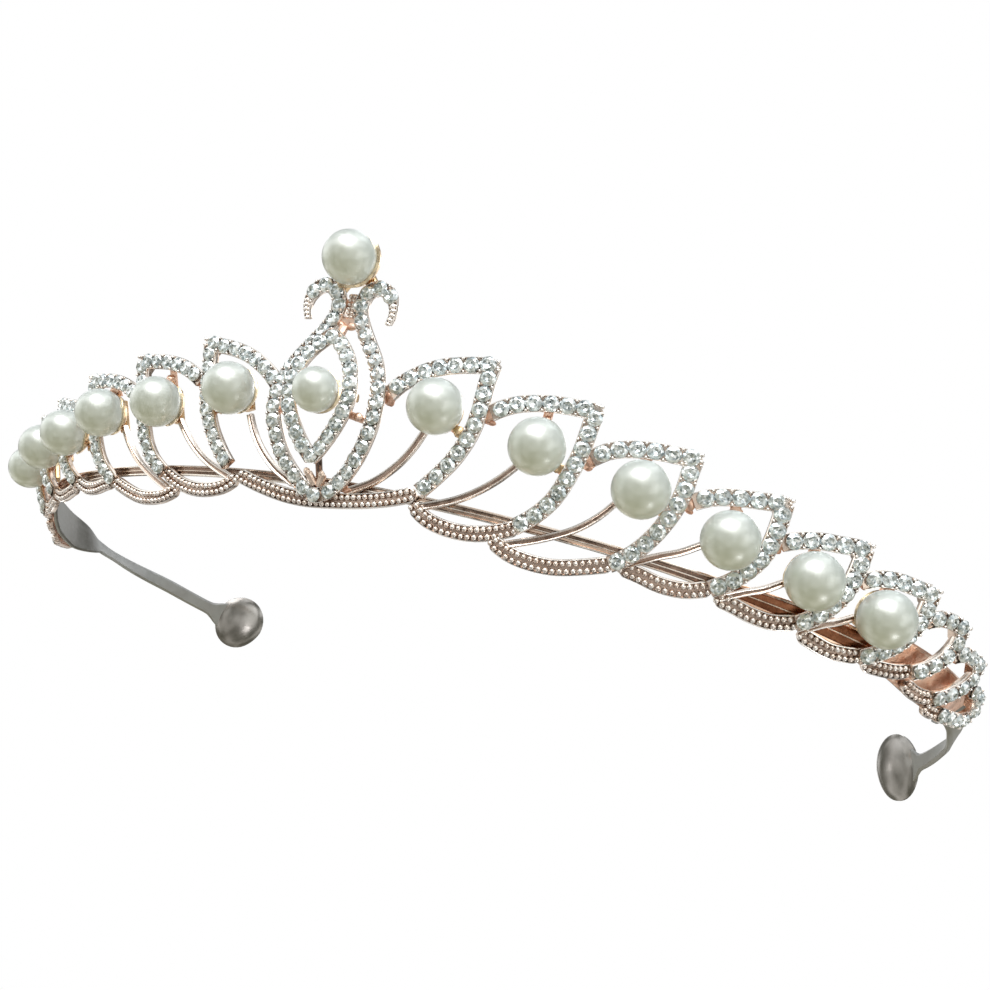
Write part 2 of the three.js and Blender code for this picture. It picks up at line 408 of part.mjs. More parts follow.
function stoneRow(i, left) {
  const d = pattern(i, left);
  const top = [...d.top];
  top[0] = [top[0][0] * 0.8 + top[1][0] * 0.2, top[0][1] * 0.8 + top[1][1] * 0.2];
  return stones(lifted([...top, ...d.arm.slice(1)]));
}
const names = (base, i, side) => `${base}_${side}_${i + 1}`;
for (const [side, mirrored] of [['right', false], ['left', true]]) {
  const turn = (m) => (mirrored ? m.mirror([1, 0, 0]) : m);
  LEAVES.forEach((d, i) => {
    const { frame, pearl } = leaf(i, mirrored);
    put(names('leaf_frame', i, side), turn(frame), ROSE_GOLD);
    put(names('stone_row', i, side), turn(stoneRow(i, mirrored)), STONE);
    if (d.stem) put(names('pearl', i, side), turn(pearlAt(pearl[0], pearl[1], pearl[2] ?? PEARL_W, PEARL_R)), PEARL);
  });
  put(`centre_stones_${side}`, turn(stones(CENTRE_ARM.slice(0, -2))), STONE);
  put(`side_arm_${side}`, turn(sideArm), GREY_METAL);
}
// One row of stones round the marquise: the two halves meet at the foot and at the top.
put('marquise_stones', biggest(stones(MARQUISE).add(stones(MARQUISE.map(([s, v, w]) => [-s, v, w])))), STONE);
put('pearl_finial', pearlAt(0, TOP_PEARL_V, PEARL_W, PEARL_R), PEARL);
put('pearl_centre', pearlAt(0, CENTRE_PEARL_V, CENTRE_PEARL_W, CENTRE_PEARL_R), PEARL);

// ------------------------------------------------------------------- levelled and placed
const level = new THREE.Matrix4().makeRotationX((LEVEL * Math.PI) / 180);
const bounds = new THREE.Box3();
const geometries = new Map();
for (const [name, { manifold }] of pieces) {
  const mesh = manifold.getMesh(), g = new THREE.BufferGeometry();
  const pos = new Float32Array((mesh.vertProperties.length / mesh.numProp) * 3);
  for (let i = 0; i < pos.length / 3; i++) for (let c = 0; c < 3; c++) pos[i * 3 + c] = mesh.vertProperties[i * mesh.numProp + c];
  g.setAttribute('position', new THREE.BufferAttribute(pos, 3));
  g.setIndex(new THREE.BufferAttribute(new Uint32Array(mesh.triVerts), 1));
  g.applyMatrix4(level);
  g.computeBoundingBox();
  bounds.union(g.boundingBox);
  geometries.set(name, g);
}
const shift = new THREE.Vector3(0, -(bounds.min.y + bounds.max.y) / 2, -bounds.min.z);
const tiara = new THREE.Group();
tiara.name = 'bridal_tiara';
for (const [name, { finish }] of pieces) {
  const g = geometries.get(name).translate(shift.x, shift.y, shift.z);
  g.computeVertexNormals();
  const mesh = new THREE.Mesh(g, new THREE.MeshStandardMaterial(finish));
  mesh.name = name;
  tiara.add(mesh);
}

export default tiara;
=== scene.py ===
"""Looks of the bridal tiara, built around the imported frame. Lengths are millimetres until
they are placed; the pattern coordinates are those of the frame: s along the band from the
centre, v up the crown, w outwards. A left-hand piece is the same pattern with s negative.
"""
import math

import bpy
import numpy as np
from mathutils import Matrix, Vector


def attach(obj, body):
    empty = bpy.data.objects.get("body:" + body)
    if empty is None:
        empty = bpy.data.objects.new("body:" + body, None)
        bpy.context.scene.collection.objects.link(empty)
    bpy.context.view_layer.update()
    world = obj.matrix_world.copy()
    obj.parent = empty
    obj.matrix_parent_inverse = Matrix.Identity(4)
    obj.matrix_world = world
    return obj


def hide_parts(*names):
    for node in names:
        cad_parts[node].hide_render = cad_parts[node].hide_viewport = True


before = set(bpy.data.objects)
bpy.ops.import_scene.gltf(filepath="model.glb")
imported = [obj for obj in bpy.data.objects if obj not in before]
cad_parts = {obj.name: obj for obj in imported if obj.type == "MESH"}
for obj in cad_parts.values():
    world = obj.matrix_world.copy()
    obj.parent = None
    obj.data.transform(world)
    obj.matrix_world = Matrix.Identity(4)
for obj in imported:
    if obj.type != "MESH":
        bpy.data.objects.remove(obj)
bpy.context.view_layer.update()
RNG = np.random.default_rng(20)

# --------------------------------------------------------------------- driving sizes
PEARL_R, CENTRE_PEARL_R, PEARL_W = 4.0, 3.3, 2.15
CHANNEL_WIDE, CHANNEL_BACK, CHANNEL_FRONT = 2.35, -1.5, -0.6
STONE_PITCH = 2.22
LEAF_OUT = 0.75
BAND_BACK, BAND_FRONT, BAND_END = -2.6, -1.65, 84
ARM_WIDE, ARM_BACK, ARM_FRONT = 2.9, -2.65, -1.65
PAD_LONG, PAD_TALL, PAD_S, PAD_V = 11.4, 12.2, 160.2, 3.8
PAD_TURN, PAD_JOIN = math.radians(16), 3.7
ARM_TWIST = 0.5
KAPPA_S = [0, 15, 30, 45, 60, 75, 90, 105, 120, 150, 185]
KAPPA = [0.00605, 0.00744, 0.00839, 0.0089, 0.01066, 0.015, 0.02043, 0.02367, 0.0152, 0.00925, 0.00925]
LEAN_S = [0, 30, 60, 90, 120, 154, 185]
LEAN = [18.9, 19.8, 23.5, 22.8, 14.7, -16, -16]
FOOT_Z = [0.68, 0.2, -0.17, -0.41, -0.28, 0.0, 0.0]
LEVEL = math.radians(0.15)
SHIFT = np.array([0.0, -42.5255708694458, 2.678402900695801])

LEAVES = [
    dict(top=[(9.3, 16.4), (10.6, 17.9), (12.4, 19.3), (14.7, 20.7), (17.1, 21.6), (19.7, 22.2), (22.9, 22.7)],
         arm=[(23.1, 22.7), (22.8, 20.4), (22.7, 18.1), (22.6, 15.8), (22.1, 13.0), (21.2, 10.5), (20.2, 8.5), (19.1, 6.9), (17.9, 5.3), (16.4, 3.6)],
         stem=[(4.7, 1.7), (8.6, 3.8), (11.9, 6.9), (13.7, 9.6), (14.9, 12.2)],
         pearl=(16.9, 15.6), pearlL=(16.8, 14.8), lugs=[((18.6, 13.6), (21.8, 12.2))], tallL=0.965),
    dict(top=[(24.2, 16.3), (26.0, 17.5), (27.9, 18.4), (30.0, 19.0), (32.2, 19.4), (34.8, 19.6), (37.5, 19.7)],
         arm=[(37.6, 19.8), (37.4, 17.2), (37.2, 14.8), (36.9, 12.8), (36.4, 10.8), (35.8, 8.7), (35.0, 6.7), (33.9, 5.0), (32.5, 3.4), (30.7, 1.9)],
         edge=[(15.7, 1.4), (17.9, 0.1), (21.1, -0.55), (24.8, -0.4), (28.2, 0.6), (30.9, 1.9)],
         stem=[(16.3, 1.5), (21.0, 3.4), (23.8, 5.1), (26.7, 7.6), (29.4, 10.8)],
         pearl=(31.6, 13.2), pearlL=(31.6, 12.7), lugs=[((33.3, 11.8), (36.2, 10.4)), ((31.4, 15.6), (31.6, 18.6))]),
    dict(top=[(38.6, 13.5), (40.3, 14.9), (42.2, 15.8), (44.3, 16.4), (46.6, 16.8), (48.9, 17.0), (50.9, 17.2)],
         arm=[(51.1, 17.3), (51.0, 15.0), (51.0, 13.0), (50.7, 10.8), (50.0, 8.4), (49.1, 6.2), (48.1, 4.4), (46.9, 2.7), (45.7, 1.5), (44.4, 0.5)],
         edge=[(28.2, -0.8), (30.6, -1.8), (33.4, -2.2), (36.9, -2.05), (40.4, -1.1), (44.6, 0.5)],
         stem=[(29.8, -0.8), (35.0, 1.5), (38.7, 3.7), (41.4, 6.3), (43.4, 9.2)],
         pearl=(45.7, 11.3), pearlL=(46.0, 11.8), lugs=[((47.4, 10.2), (49.9, 8.8)), ((45.4, 14.0), (45.5, 16.0))], tallL=1.04),
    dict(top=[(52.5, 11.8), (54.3, 13.0), (56.6, 13.9), (59.0, 14.5), (61.3, 15.0), (63.0, 15.4)],
         arm=[(63.4, 15.5), (63.5, 13.3), (63.5, 11.0), (63.3, 8.8), (62.6, 6.8), (61.5, 5.0), (60.1, 3.2), (58.1, 1.5)],
         edge=[(46.3, 0.5), (48.4, 0.3), (51.7, -0.15), (55.2, 0.2), (58.3, 1.5)],
         stem=[(45.9, 0.6), (50.2, 3.3), (53.0, 4.8), (55.6, 6.8)],
         pearl=(58.1, 8.6), pearlL=(57.5, 9.7, 2.35), lugs=[((59.9, 7.6), (62.4, 6.2)), ((57.9, 11.4), (58.0, 13.6))], tallL=1.02),
    dict(top=[(64.7, 10.5), (66.8, 11.7), (69.2, 12.6), (71.5, 13.1), (73.6, 13.6), (74.6, 13.8)],
         arm=[(75.1, 14.0), (75.3, 11.8), (75.3, 9.7), (75.1, 7.8), (74.4, 5.8), (73.4, 4.1), (72.2, 2.4), (70.7, 1.2)],
         edge=[(59.8, 0.6), (61.8, 0.4), (64.6, 0.0), (67.7, 0.1), (71.0, 1.2)],
         stem=[(59.8, 0.7), (63.0, 2.6), (65.2, 3.8), (67.4, 5.6)],
         pearl=(69.9, 7.4), pearlL=(68.6, 8.95, 2.45), lugs=[((71.6, 6.5), (74.1, 5.2)), ((69.4, 10.3), (69.4, 11.9))], tallL=1.1),
    dict(top=[(76.5, 9.8), (78.5, 11.1), (80.8, 11.9), (83.2, 12.2), (85.1, 12.4), (86.0, 12.6)],
         arm=[(86.7, 12.7), (86.9, 10.9), (87.0, 8.9), (86.6, 6.8), (85.6, 4.7), (84.4, 2.9), (82.9, 1.4), (81.4, 0.5)],
         edge=[(72.4, 0.0), (74.4, -0.3), (77.0, -0.55), (79.6, -0.1), (81.7, 0.5)],
         stem=[(72.0, 0.4), (74.6, 2.3), (76.7, 3.5), (78.6, 5.0)],
         pearl=(81.0, 6.6), pearlL=(80.9, 8.0, 2.4), lugs=[((82.7, 5.9), (85.4, 4.9)), ((80.7, 9.4), (80.8, 11.1))], tallL=1.12),
    dict(top=[(88.0, 9.1), (89.7, 10.3), (91.9, 10.8), (94.1, 10.8)],
         arm=[(94.6, 10.7), (94.7, 9.0), (94.4, 7.0), (93.4, 5.0), (92.0, 3.3), (90.4, 1.9)],
         edge=[(83.2, -0.1), (85.2, 0.15), (88.4, 0.9), (90.6, 1.9)]),
    dict(top=[(95.8, 7.1), (97.5, 8.1), (99.7, 8.4), (101.8, 8.2)],
         arm=[(102.3, 8.2), (102.4, 6.5), (101.5, 4.7), (100.2, 2.9), (99.0, 1.5), (97.0, 0.3)],
         edge=[(91.5, 0.0), (93.3, -0.3), (95.2, -0.2), (97.2, 0.3)]),
    dict(top=[(103.5, 4.7), (105.2, 5.0), (107.0, 4.9)],
         arm=[(107.5, 4.8), (108.5, 3.6), (108.7, 2.1), (107.7, 0.8), (105.6, 0.1), (103.0, -0.4), (100.2, -0.9)],
         edge=[(97.6, -1.2), (99.0, -1.2), (100.5, -0.9)]),
]
CENTRE_ARM = [
    (1.25, 0.7, 0.15), (2.4, 1.4, 0.2), (4.1, 3.1, 0.6), (5.6, 5.0, 1.25), (6.7, 7.0, 1.65), (7.45, 9.0, 1.95), (8.0, 11.0, 2.2), (8.2, 13.0, 2.2),
    (8.15, 15.0, 2.0), (7.75, 17.0, 1.6), (7.0, 19.0, 1.05), (5.9, 21.0, 0.6), (4.5, 23.0, 0.3), (3.1, 25.0, 0.0), (2.05, 27.0, -0.1),
    (1.8, 28.6, -0.1), (2.3, 30.3, 0.0), (3.5, 31.3, 0.0), (4.8, 31.4, 0.0), (6.0, 30.7, 0.0), (6.8, 29.4, 0.0), (7.0, 27.9, 0.0), (6.6, 26.4, 0.0),
]
MARQUISE = [
    (0.0, 5.4, 2.9), (1.4, 7.0, 3.25), (2.75, 9.0, 3.6), (3.8, 11.0, 3.85), (4.55, 13.0, 4.0), (4.85, 15.0, 4.0),
    (4.65, 17.0, 3.9), (4.0, 19.0, 3.65), (2.75, 21.0, 3.3), (1.2, 22.6, 3.05), (0.0, 23.5, 2.95),
]
BASE_EDGE = [(-14.6, 2.0), (-11.0, 0.95), (-7.4, 0.15), (-4.4, -0.25), (-1.0, -0.35), (3.0, 0.05), (7.6, 0.8), (11.6, 1.8), (14.9, 3.0)]
TOP_PEARL_V, CENTRE_PEARL_V, CENTRE_PEARL_W = 35.1, 15.0, 4.7

# --------------------------------------------------------------------- bent surface
_x = _y = _a = 0.0
_rows = []
for _i in range(371):
    _rows.append((_x, _y, _a))
    _k = np.interp((_i + 0.5) * 0.5, KAPPA_S, KAPPA)
    _m = _a + _k * 0.25
    _x, _y, _a = _x + math.cos(_m) * 0.5, _y + math.sin(_m) * 0.5, _a + _k * 0.5
ALONG = np.array(_rows)
ALONG_S = np.arange(len(ALONG)) * 0.5


def place(p):
    """Points of the unlevelled frame, in mm, to the row frame, in metres."""
    p = np.asarray(p, float)
    c, s = math.cos(LEVEL), math.sin(LEVEL)
    return (np.stack([p[..., 0], p[..., 1] * c - p[..., 2] * s, p[..., 1] * s + p[..., 2] * c], -1) + SHIFT) / 1000


def bend(p):
    """Pattern points (s, v, w) to the row frame, in metres."""
    s, v, w = np.atleast_2d(np.asarray(p, float)).T
    t, sign = np.abs(s), np.where(s < 0, -1.0, 1.0)
    x, y, a = (np.interp(t, ALONG_S, ALONG[:, k]) for k in range(3))
    lean, z0 = np.radians(np.interp(t, LEAN_S, LEAN)), np.interp(t, LEAN_S, FOOT_Z)
    out = v * np.sin(lean) + w * np.cos(lean)
    return place(np.stack([sign * (x + out * np.sin(a)), y - out * np.cos(a), z0 + v * np.cos(lean) - w * np.sin(lean)], -1))


def frame_at(s, v, w):
    """Origin (m) and unit axes (along s, up v, outwards w) at a pattern point."""
    o, a, b, c = bend([(s, v, w), (s + 0.5, v, w), (s - 0.5, v, w), (s, v, w + 1)])
    dw = (c - o) / np.linalg.norm(c - o)
    ds = a - b
    ds -= dw * ds.dot(dw)
    ds /= np.linalg.norm(ds)
    return o, np.stack([ds, np.cross(dw, ds), dw])


def smooth(x, lo, hi):
    t = np.clip((np.asarray(x, float) - lo) / (hi - lo), 0, 1)
    return t * t * (3 - 2 * t)


def length_of(points):
    p = np.array([(*q, 0.0)[:3] for q in points], float)
    return float(np.linalg.norm(np.diff(p, axis=0), axis=1).sum())


def spline(points, count):
    """Centripetal curve through the points, at count + 1 even steps of its length."""
    fine, run = fine_curve(points)
    at = np.linspace(0, run[-1], count + 1)
    return np.stack([np.interp(at, run, fine[:, k]) for k in range(3)], -1)


def curve_at(points, distances):
    fine, run = fine_curve(points)
    return np.stack([np.interp(distances, run, fine[:, k]) for k in range(3)], -1)


def fine_curve(points):
    p = np.array([(*q, 0.0)[:3] for q in points], float)
    e = np.vstack([2 * p[0] - p[1], p, 2 * p[-1] - p[-2]])
    fine = [p[0]]
    for i in range(len(p) - 1):
        p0, p1, p2, p3 = e[i:i + 4]
        d0, d1, d2 = (max(np.linalg.norm(b - a) ** 0.5, 1e-4) for a, b in ((p0, p1), (p1, p2), (p2, p3)))
        t1 = ((p1 - p0) / d0 - (p2 - p0) / (d0 + d1) + (p2 - p1) / d1) * d1
        t2 = ((p2 - p1) / d1 - (p3 - p1) / (d1 + d2) + (p3 - p2) / d2) * d1
        for u in np.linspace(0, 1, 25)[1:]:
            fine.append((2 * u ** 3 - 3 * u ** 2 + 1) * p1 + (u ** 3 - 2 * u ** 2 + u) * t1
                        + (-2 * u ** 3 + 3 * u ** 2) * p2 + (u ** 3 - u ** 2) * t2)
    fine = np.array(fine)
    return fine, np.concatenate([[0], np.cumsum(np.linalg.norm(np.diff(fine, axis=0), axis=1))])


def lifted(points):
    return [(q[0], q[1], 0.1 + LEAF_OUT * float(smooth(q[1], 0.5, 4.5))) for q in points]


# ---------------------------------------------------------------------- mesh maker
class Piece:
    """Collects closed shells, each face with a material and a shading tone: painted shade in recesses at 0 up to
    painted highlights at 1.
    """

    def __init__(self, left=False):
        self.left, self.v, self.f, self.mat, self.tone, self.n = left, [], [], [], [], 0

    def shell(self, world, faces, mat=0, tone=1.0, flip=False):
        base = self.n
        self.v.append(np.asarray(world, float))
        self.n += len(world)
        for f in faces:
            g = [base + int(i) for i in f]
            self.f.append(g[::-1] if flip else g)
        self.mat += [mat] * len(faces) if np.isscalar(mat) else list(mat)
        self.tone += [tone] * len(faces) if np.isscalar(tone) else list(tone)

    def pattern(self, points):
        p = np.array(points, float).reshape(-1, 3)
        if self.left:
            p = p * [-1, 1, 1]
        return bend(p)

    def sweep(self, path, ring, mat=0, tone=1.0, centre=None):
        """ring(i, n) gives the section as (across, outward) pairs, in a fixed count. The shading tone, painted light
        and shade, may be one value for each side of the section, or a function of step and side."""
        path = np.array([(*q, 0.0)[:3] for q in path], float)
        n, first = len(path), ring(0, len(path))
        m = len(first)
        pts = []
        for i in range(n):
            a, b = path[max(i - 1, 0)], path[min(i + 1, n - 1)]
            d = b[:2] - a[:2]
            d = d / (np.linalg.norm(d) or 1)
            for across, outward in ring(i, n):
                pts.append((path[i][0] - across * d[1], path[i][1] + across * d[0], path[i][2] + outward))
        faces, tones = [], []
        for i in range(n - 1):
            for j in range(m):
                k, p = (j + 1) % m, i * m
                faces.append((p + j, p + k, p + m + k, p + m + j))
                tones.append(tone(i, j) if callable(tone) else tone if np.isscalar(tone) else tone[j])
        faces.append(tuple(range(m - 1, -1, -1)))
        faces.append(tuple((n - 1) * m + j for j in range(m)))
        tones += [0.5, 0.5]
        self.shell(self.pattern(pts), faces, mat, tones, flip=self.left)

    def stamps(self, verts, faces, places, mat=0, tones=None):
        """places: (origin, three axes as rows, scale) in the pattern. The shading tones, painted light and shade: one
        list a place.
        """
        verts = np.asarray(verts, float)
        for k, (o, axes, size) in enumerate(places):
            p = np.asarray(o, float) + (verts * size) @ np.asarray(axes, float)
            self.shell(self.pattern(p), faces, mat, tones[k] if tones is not None else 1.0, flip=self.left)

    def make(self, name, nodes, mats, angle=38.0):
        me = bpy.data.meshes.new(name)
        co = np.concatenate(self.v)
        me.from_pydata([tuple(c) for c in co], [], self.f)
        for m in mats:
            me.materials.append(m)
        me.polygons.foreach_set("material_index", self.mat)
        # each face's shading tone (painted shade to painted highlight) goes on the mesh as a colour attribute
        col = me.color_attributes.new("tone", "FLOAT_COLOR", "CORNER")
        counts = np.array([len(f) for f in self.f])
        t = np.repeat(np.array(self.tone, float), counts)
        col.data.foreach_set("color", np.stack([t, t, t, np.ones_like(t)], -1).ravel())
        me.update()
        me.shade_smooth()
        me.set_sharp_from_angle(angle=math.radians(angle))
        ob = bpy.data.objects.new(name, me)
        bpy.context.scene.collection.objects.link(ob)
        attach(ob, "root")
        if nodes:
            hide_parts(*nodes)
        return ob


def ball_template(seg=8, rings=5):
    v, f = [(0, 0, 1.0)], []
    for r in range(1, rings):
        t = math.pi * r / rings
        for k in range(seg):
            a = 2 * math.pi * k / seg
            v.append((math.sin(t) * math.cos(a), math.sin(t) * math.sin(a), math.cos(t)))
    v.append((0, 0, -1.0))
    last = len(v) - 1
    for k in range(seg):
        f.append((0, 1 + k, 1 + (k + 1) % seg))
        for r in range(rings - 2):
            a, b = 1 + r * seg, 1 + (r + 1) * seg
            f.append((a + k, b + k, b + (k + 1) % seg, a + (k + 1) % seg))
        f.append((1 + (rings - 2) * seg + k, last, 1 + (rings - 2) * seg + (k + 1) % seg))
    return np.array(v), f


BALL = ball_template()
BALL_MID = ball_template(10, 6)
BALL_FINE = ball_template(14, 9)
EYE = np.eye(3)


def beads(piece, centres, radius, mat=0, tone=0.95, flat=1.0, template=BALL):
    r = np.broadcast_to(np.asarray(radius, float), (len(centres),))
    piece.stamps(template[0] * [1, 1, flat], template[1], [(c, EYE, q) for c, q in zip(centres, r)], mat, [tone] * len(centres))


def lump(piece, centre, size, mat, tone=0.7, seed=0):
    """A blob of solder or glue: a ball pushed in and out by a few seeded waves."""
    rng = np.random.default_rng(1000 + seed)
    v, f = BALL_FINE
    k = rng.normal(size=(5, 3)) * 1.9
    ph = rng.uniform(0, 6.28, 5)
    bumpy = 1 + 0.11 * np.sin(v @ k.T + ph).sum(1)
    piece.stamps(v * bumpy[:, None] * np.asarray(size, float), f, [(centre, EYE, 1.0)], mat, [tone])


# one brilliant: upper facets round a table, and in the table the folded star of its lower half
def stone_template():
    r, v, f, kind = 1.0, [], [], []
    table = [(0.60 * math.cos(k * math.pi / 4), 0.60 * math.sin(k * math.pi / 4), 0.42) for k in range(8)]
    mid = [(0.81 * math.cos((k + 0.5) * math.pi / 4), 0.81 * math.sin((k + 0.5) * math.pi / 4), 0.27) for k in range(8)]
    top = [(r * math.cos(j * math.pi / 8), r * math.sin(j * math.pi / 8), 0.05) for j in range(16)]
    low = [(r * math.cos(j * math.pi / 8), r * math.sin(j * math.pi / 8), -0.10) for j in range(16)]
    inner = [(0.34 * math.cos((k + 0.5) * math.pi / 4), 0.34 * math.sin((k + 0.5) * math.pi / 4), 0.36) for k in range(8)]
    v = table + mid + top + low + inner + [(0.03, -0.02, 0.25), (0, 0, -0.62)]
    T, M, G, L, I, C, B = 0, 8, 16, 32, 48, 56, 57
    for k in range(8):
        n = (k + 1) % 8
        f.append((C, I + (k - 1) % 8, I + k)); kind.append(0)
        f.append((I + (k - 1) % 8, T + k, I + k)); kind.append(1)
        f.append((I + k, T + k, T + n)); kind.append(2)
        f.append((T + k, M + k, T + n)); kind.append(3)
        f.append((T + k, M + (k - 1) % 8, G + 2 * k, M + k)); kind.append(4)
        f.append((M + k, G + 2 * k, G + 2 * k + 1)); kind.append(5)
        f.append((M + k, G + 2 * k + 1, G + (2 * k + 2) % 16)); kind.append(6)
    for j in range(16):
        n = (j + 1) % 16
        f.append((G + j, L + j, L + n, G + n)); kind.append(7)
        f.append((L + j, B, L + n)); kind.append(8)
    return np.array(v), f, kind


def _outwards(v, f):
    """Every face of a star-shaped template turned to face away from its middle."""
    mid = v.mean(0)
    out = []
    for q in f:
        p = v[list(q)]
        n = np.cross(p[1] - p[0], p[2] - p[0])
        out.append(q if n.dot(p.mean(0) - mid) >= 0 else tuple(reversed(q)))
    return out


STONE = stone_template()
STONE = (STONE[0], _outwards(STONE[0], STONE[1]), STONE[2])
BALL = (BALL[0], _outwards(*BALL))
BALL_MID = (BALL_MID[0], _outwards(*BALL_MID))
BALL_FINE = (BALL_FINE[0], _outwards(*BALL_FINE))


def stone_places(points, pitch=STONE_PITCH, radius=1.14, up=0.0, sizes=None):
    count = max(2, round(length_of(points) / pitch))
    path = spline(points, count * 2)
    places, gaps = [], []
    for i in range(len(path)):
        a, b = path[max(i - 1, 0)], path[min(i + 1, len(path) - 1)]
        t = (b - a) / np.linalg.norm(b - a)
        n = np.array([-t[1], t[0], 0.0])
        n /= np.linalg.norm(n)
        w = np.cross(t, n)
        if i % 2:
            turn, tip, way = RNG.uniform(0, math.pi / 4), math.radians(RNG.uniform(0, 9)), RNG.uniform(0, 2 * math.pi)
            t1, n1 = math.cos(turn) * t + math.sin(turn) * n, -math.sin(turn) * t + math.cos(turn) * n
            axis = math.cos(way) * t + math.sin(way) * n
            rot = np.array(Matrix.Rotation(tip, 3, Vector(axis)))
            size = radius if sizes is None else radius * sizes[i // 2]
            places.append((path[i] + w * (up + 0.02 * RNG.normal()), np.stack([rot @ t1, rot @ n1, rot @ w]), size))
        else:
            gaps.append((path[i], t, n, w))
    return places, gaps


def stone_tones(count):
    """Tone of every facet, a painted reflection: bright and dark ones mixed, as a foiled brilliant shows them."""
    out = []
    for _ in range(count):
        gain = RNG.uniform(0.85, 1.08)
        row = []
        for k in STONE[2]:
            base, spread = {0: (0.62, 0.45), 1: (0.75, 0.4), 2: (0.50, 0.45), 3: (0.80, 0.35), 4: (0.70, 0.4), 5: (0.55, 0.45), 6: (0.80, 0.35), 7: (0.8, 0.2), 8: (0.5, 0.05)}[k]
            row.append(float(np.clip((base + spread * RNG.uniform(-1, 1)) * gain, 0.02, 1.0)))
        out.append(row)
    return out


# ----------------------------------------------------------------------- materials
def nodes_of(name):
    m = bpy.data.materials.new(name)
    m.use_nodes = True
    nt = m.node_tree
    return m, nt, nt.nodes["Principled BSDF"]


def link(nt, a, b):
    nt.links.new(a, b)


def add(nt, kind, **values):
    n = nt.nodes.new(kind)
    for k, v in values.items():
        if k in n.inputs:
            n.inputs[k].default_value = v
        else:
            setattr(n, k, v)
    return n


def ramp(nt, fac, stops, interpolation="LINEAR"):
    n = nt.nodes.new("ShaderNodeValToRGB")
    n.color_ramp.interpolation = interpolation
    e = n.color_ramp.elements
    while len(e) < len(stops):
        e.new(0.5)
    for k, (p, c) in enumerate(stops):
        e[k].position = p
        e[k].color = (*c, 1.0) if len(c) == 3 else c
    link(nt, fac, n.inputs["Fac"])
    return n


def lin(r, g, b):
    return tuple(((c / 255) / 12.92 if c / 255 <= 0.04045 else ((c / 255 + 0.055) / 1.055) ** 2.4) for c in (r, g, b))


def object_coords(nt):
    return nt.nodes.new("ShaderNodeTexCoord").outputs["Object"]


def metal(name, dark, mid, bright, rough=(0.2, 0.38), bump=0.12, grain=900.0, metallic=1.0):
    """Plated casting: the shading tone picks the colour, painted shade at its dark end and painted highlights at its
    bright end; noise varies it and the polish, fine bumps on top.
    """
    m, nt, p = nodes_of(name)
    at = nt.nodes.new("ShaderNodeAttribute")
    at.attribute_name = "tone"
    obj = object_coords(nt)
    wear = add(nt, "ShaderNodeTexNoise", Scale=grain, Detail=3.0, Roughness=0.6)
    link(nt, obj, wear.inputs["Vector"])
    cloud = add(nt, "ShaderNodeTexNoise", Scale=140.0, Detail=2.0)
    link(nt, obj, cloud.inputs["Vector"])
    mix = add(nt, "ShaderNodeMath", operation="MULTIPLY_ADD")
    link(nt, wear.outputs["Fac"], mix.inputs[0])
    mix.inputs[1].default_value = 0.5
    mix.inputs[2].default_value = -0.25
    tone = add(nt, "ShaderNodeMath", operation="ADD")
    tone.use_clamp = True
    link(nt, at.outputs["Fac"], tone.inputs[0])
    link(nt, mix.outputs[0], tone.inputs[1])
    # the dark colour is painted shade, the bright colour a painted highlight
    col = ramp(nt, tone.outputs[0], [(0.0, dark), (0.5, mid), (1.0, bright)])
    tint = add(nt, "ShaderNodeMix", data_type="RGBA", blend_type="MULTIPLY")
    tint.inputs[0].default_value = 1.0
    link(nt, col.outputs["Color"], tint.inputs[6])
    warm = ramp(nt, cloud.outputs["Fac"], [(0.3, (0.90, 0.875, 0.86)), (0.7, (1.0, 1.0, 1.0))])
    link(nt, warm.outputs["Color"], tint.inputs[7])
    link(nt, tint.outputs[2], p.inputs["Base Color"])
    r = add(nt, "ShaderNodeMapRange")
    link(nt, wear.outputs["Fac"], r.inputs["Value"])
    r.inputs["From Min"].default_value, r.inputs["From Max"].default_value = 0.3, 0.7
    r.inputs["To Min"].default_value, r.inputs["To Max"].default_value = rough
    link(nt, r.outputs["Result"], p.inputs["Roughness"])
    b = add(nt, "ShaderNodeBump", Strength=bump, Distance=0.0002)
    link(nt, wear.outputs["Fac"], b.inputs["Height"])
    link(nt, b.outputs["Normal"], p.inputs["Normal"])
    p.inputs["Metallic"].default_value = metallic
    return m


# each metal: dark colour for painted shade, mid colour, bright colour for painted highlights
ROSE = metal("rose_gold", lin(146, 123, 111), lin(224, 206, 191), lin(255, 250, 244), rough=(0.18, 0.34), bump=0.1)
STRIP = metal("rose_gold_strip", lin(132, 110, 97), lin(214, 192, 174), lin(254, 247, 237), rough=(0.18, 0.32), bump=0.08)
STRIP_WARM = metal("rose_gold_strip_ends", lin(150, 98, 70), lin(216, 158, 122), lin(252, 232, 210), rough=(0.2, 0.34), bump=0.1)
SOLDER = metal("solder", lin(172, 120, 98), lin(238, 192, 166), lin(253, 234, 216), rough=(0.26, 0.44), bump=0.6, grain=1300.0)
GOLD = metal("cup_gold", lin(160, 120, 84), lin(232, 198, 154), lin(250, 234, 200), rough=(0.2, 0.36), bump=0.3)
GREY = metal("grey_metal", lin(108, 105, 101), lin(170, 168, 168), lin(196, 195, 194), rough=(0.42, 0.54), bump=0.04, grain=500.0, metallic=0.3)
PADS = metal("pad_metal", lin(124, 119, 114), lin(164, 160, 157), lin(214, 211, 207), rough=(0.16, 0.24), bump=0.04, grain=420.0, metallic=0.55)


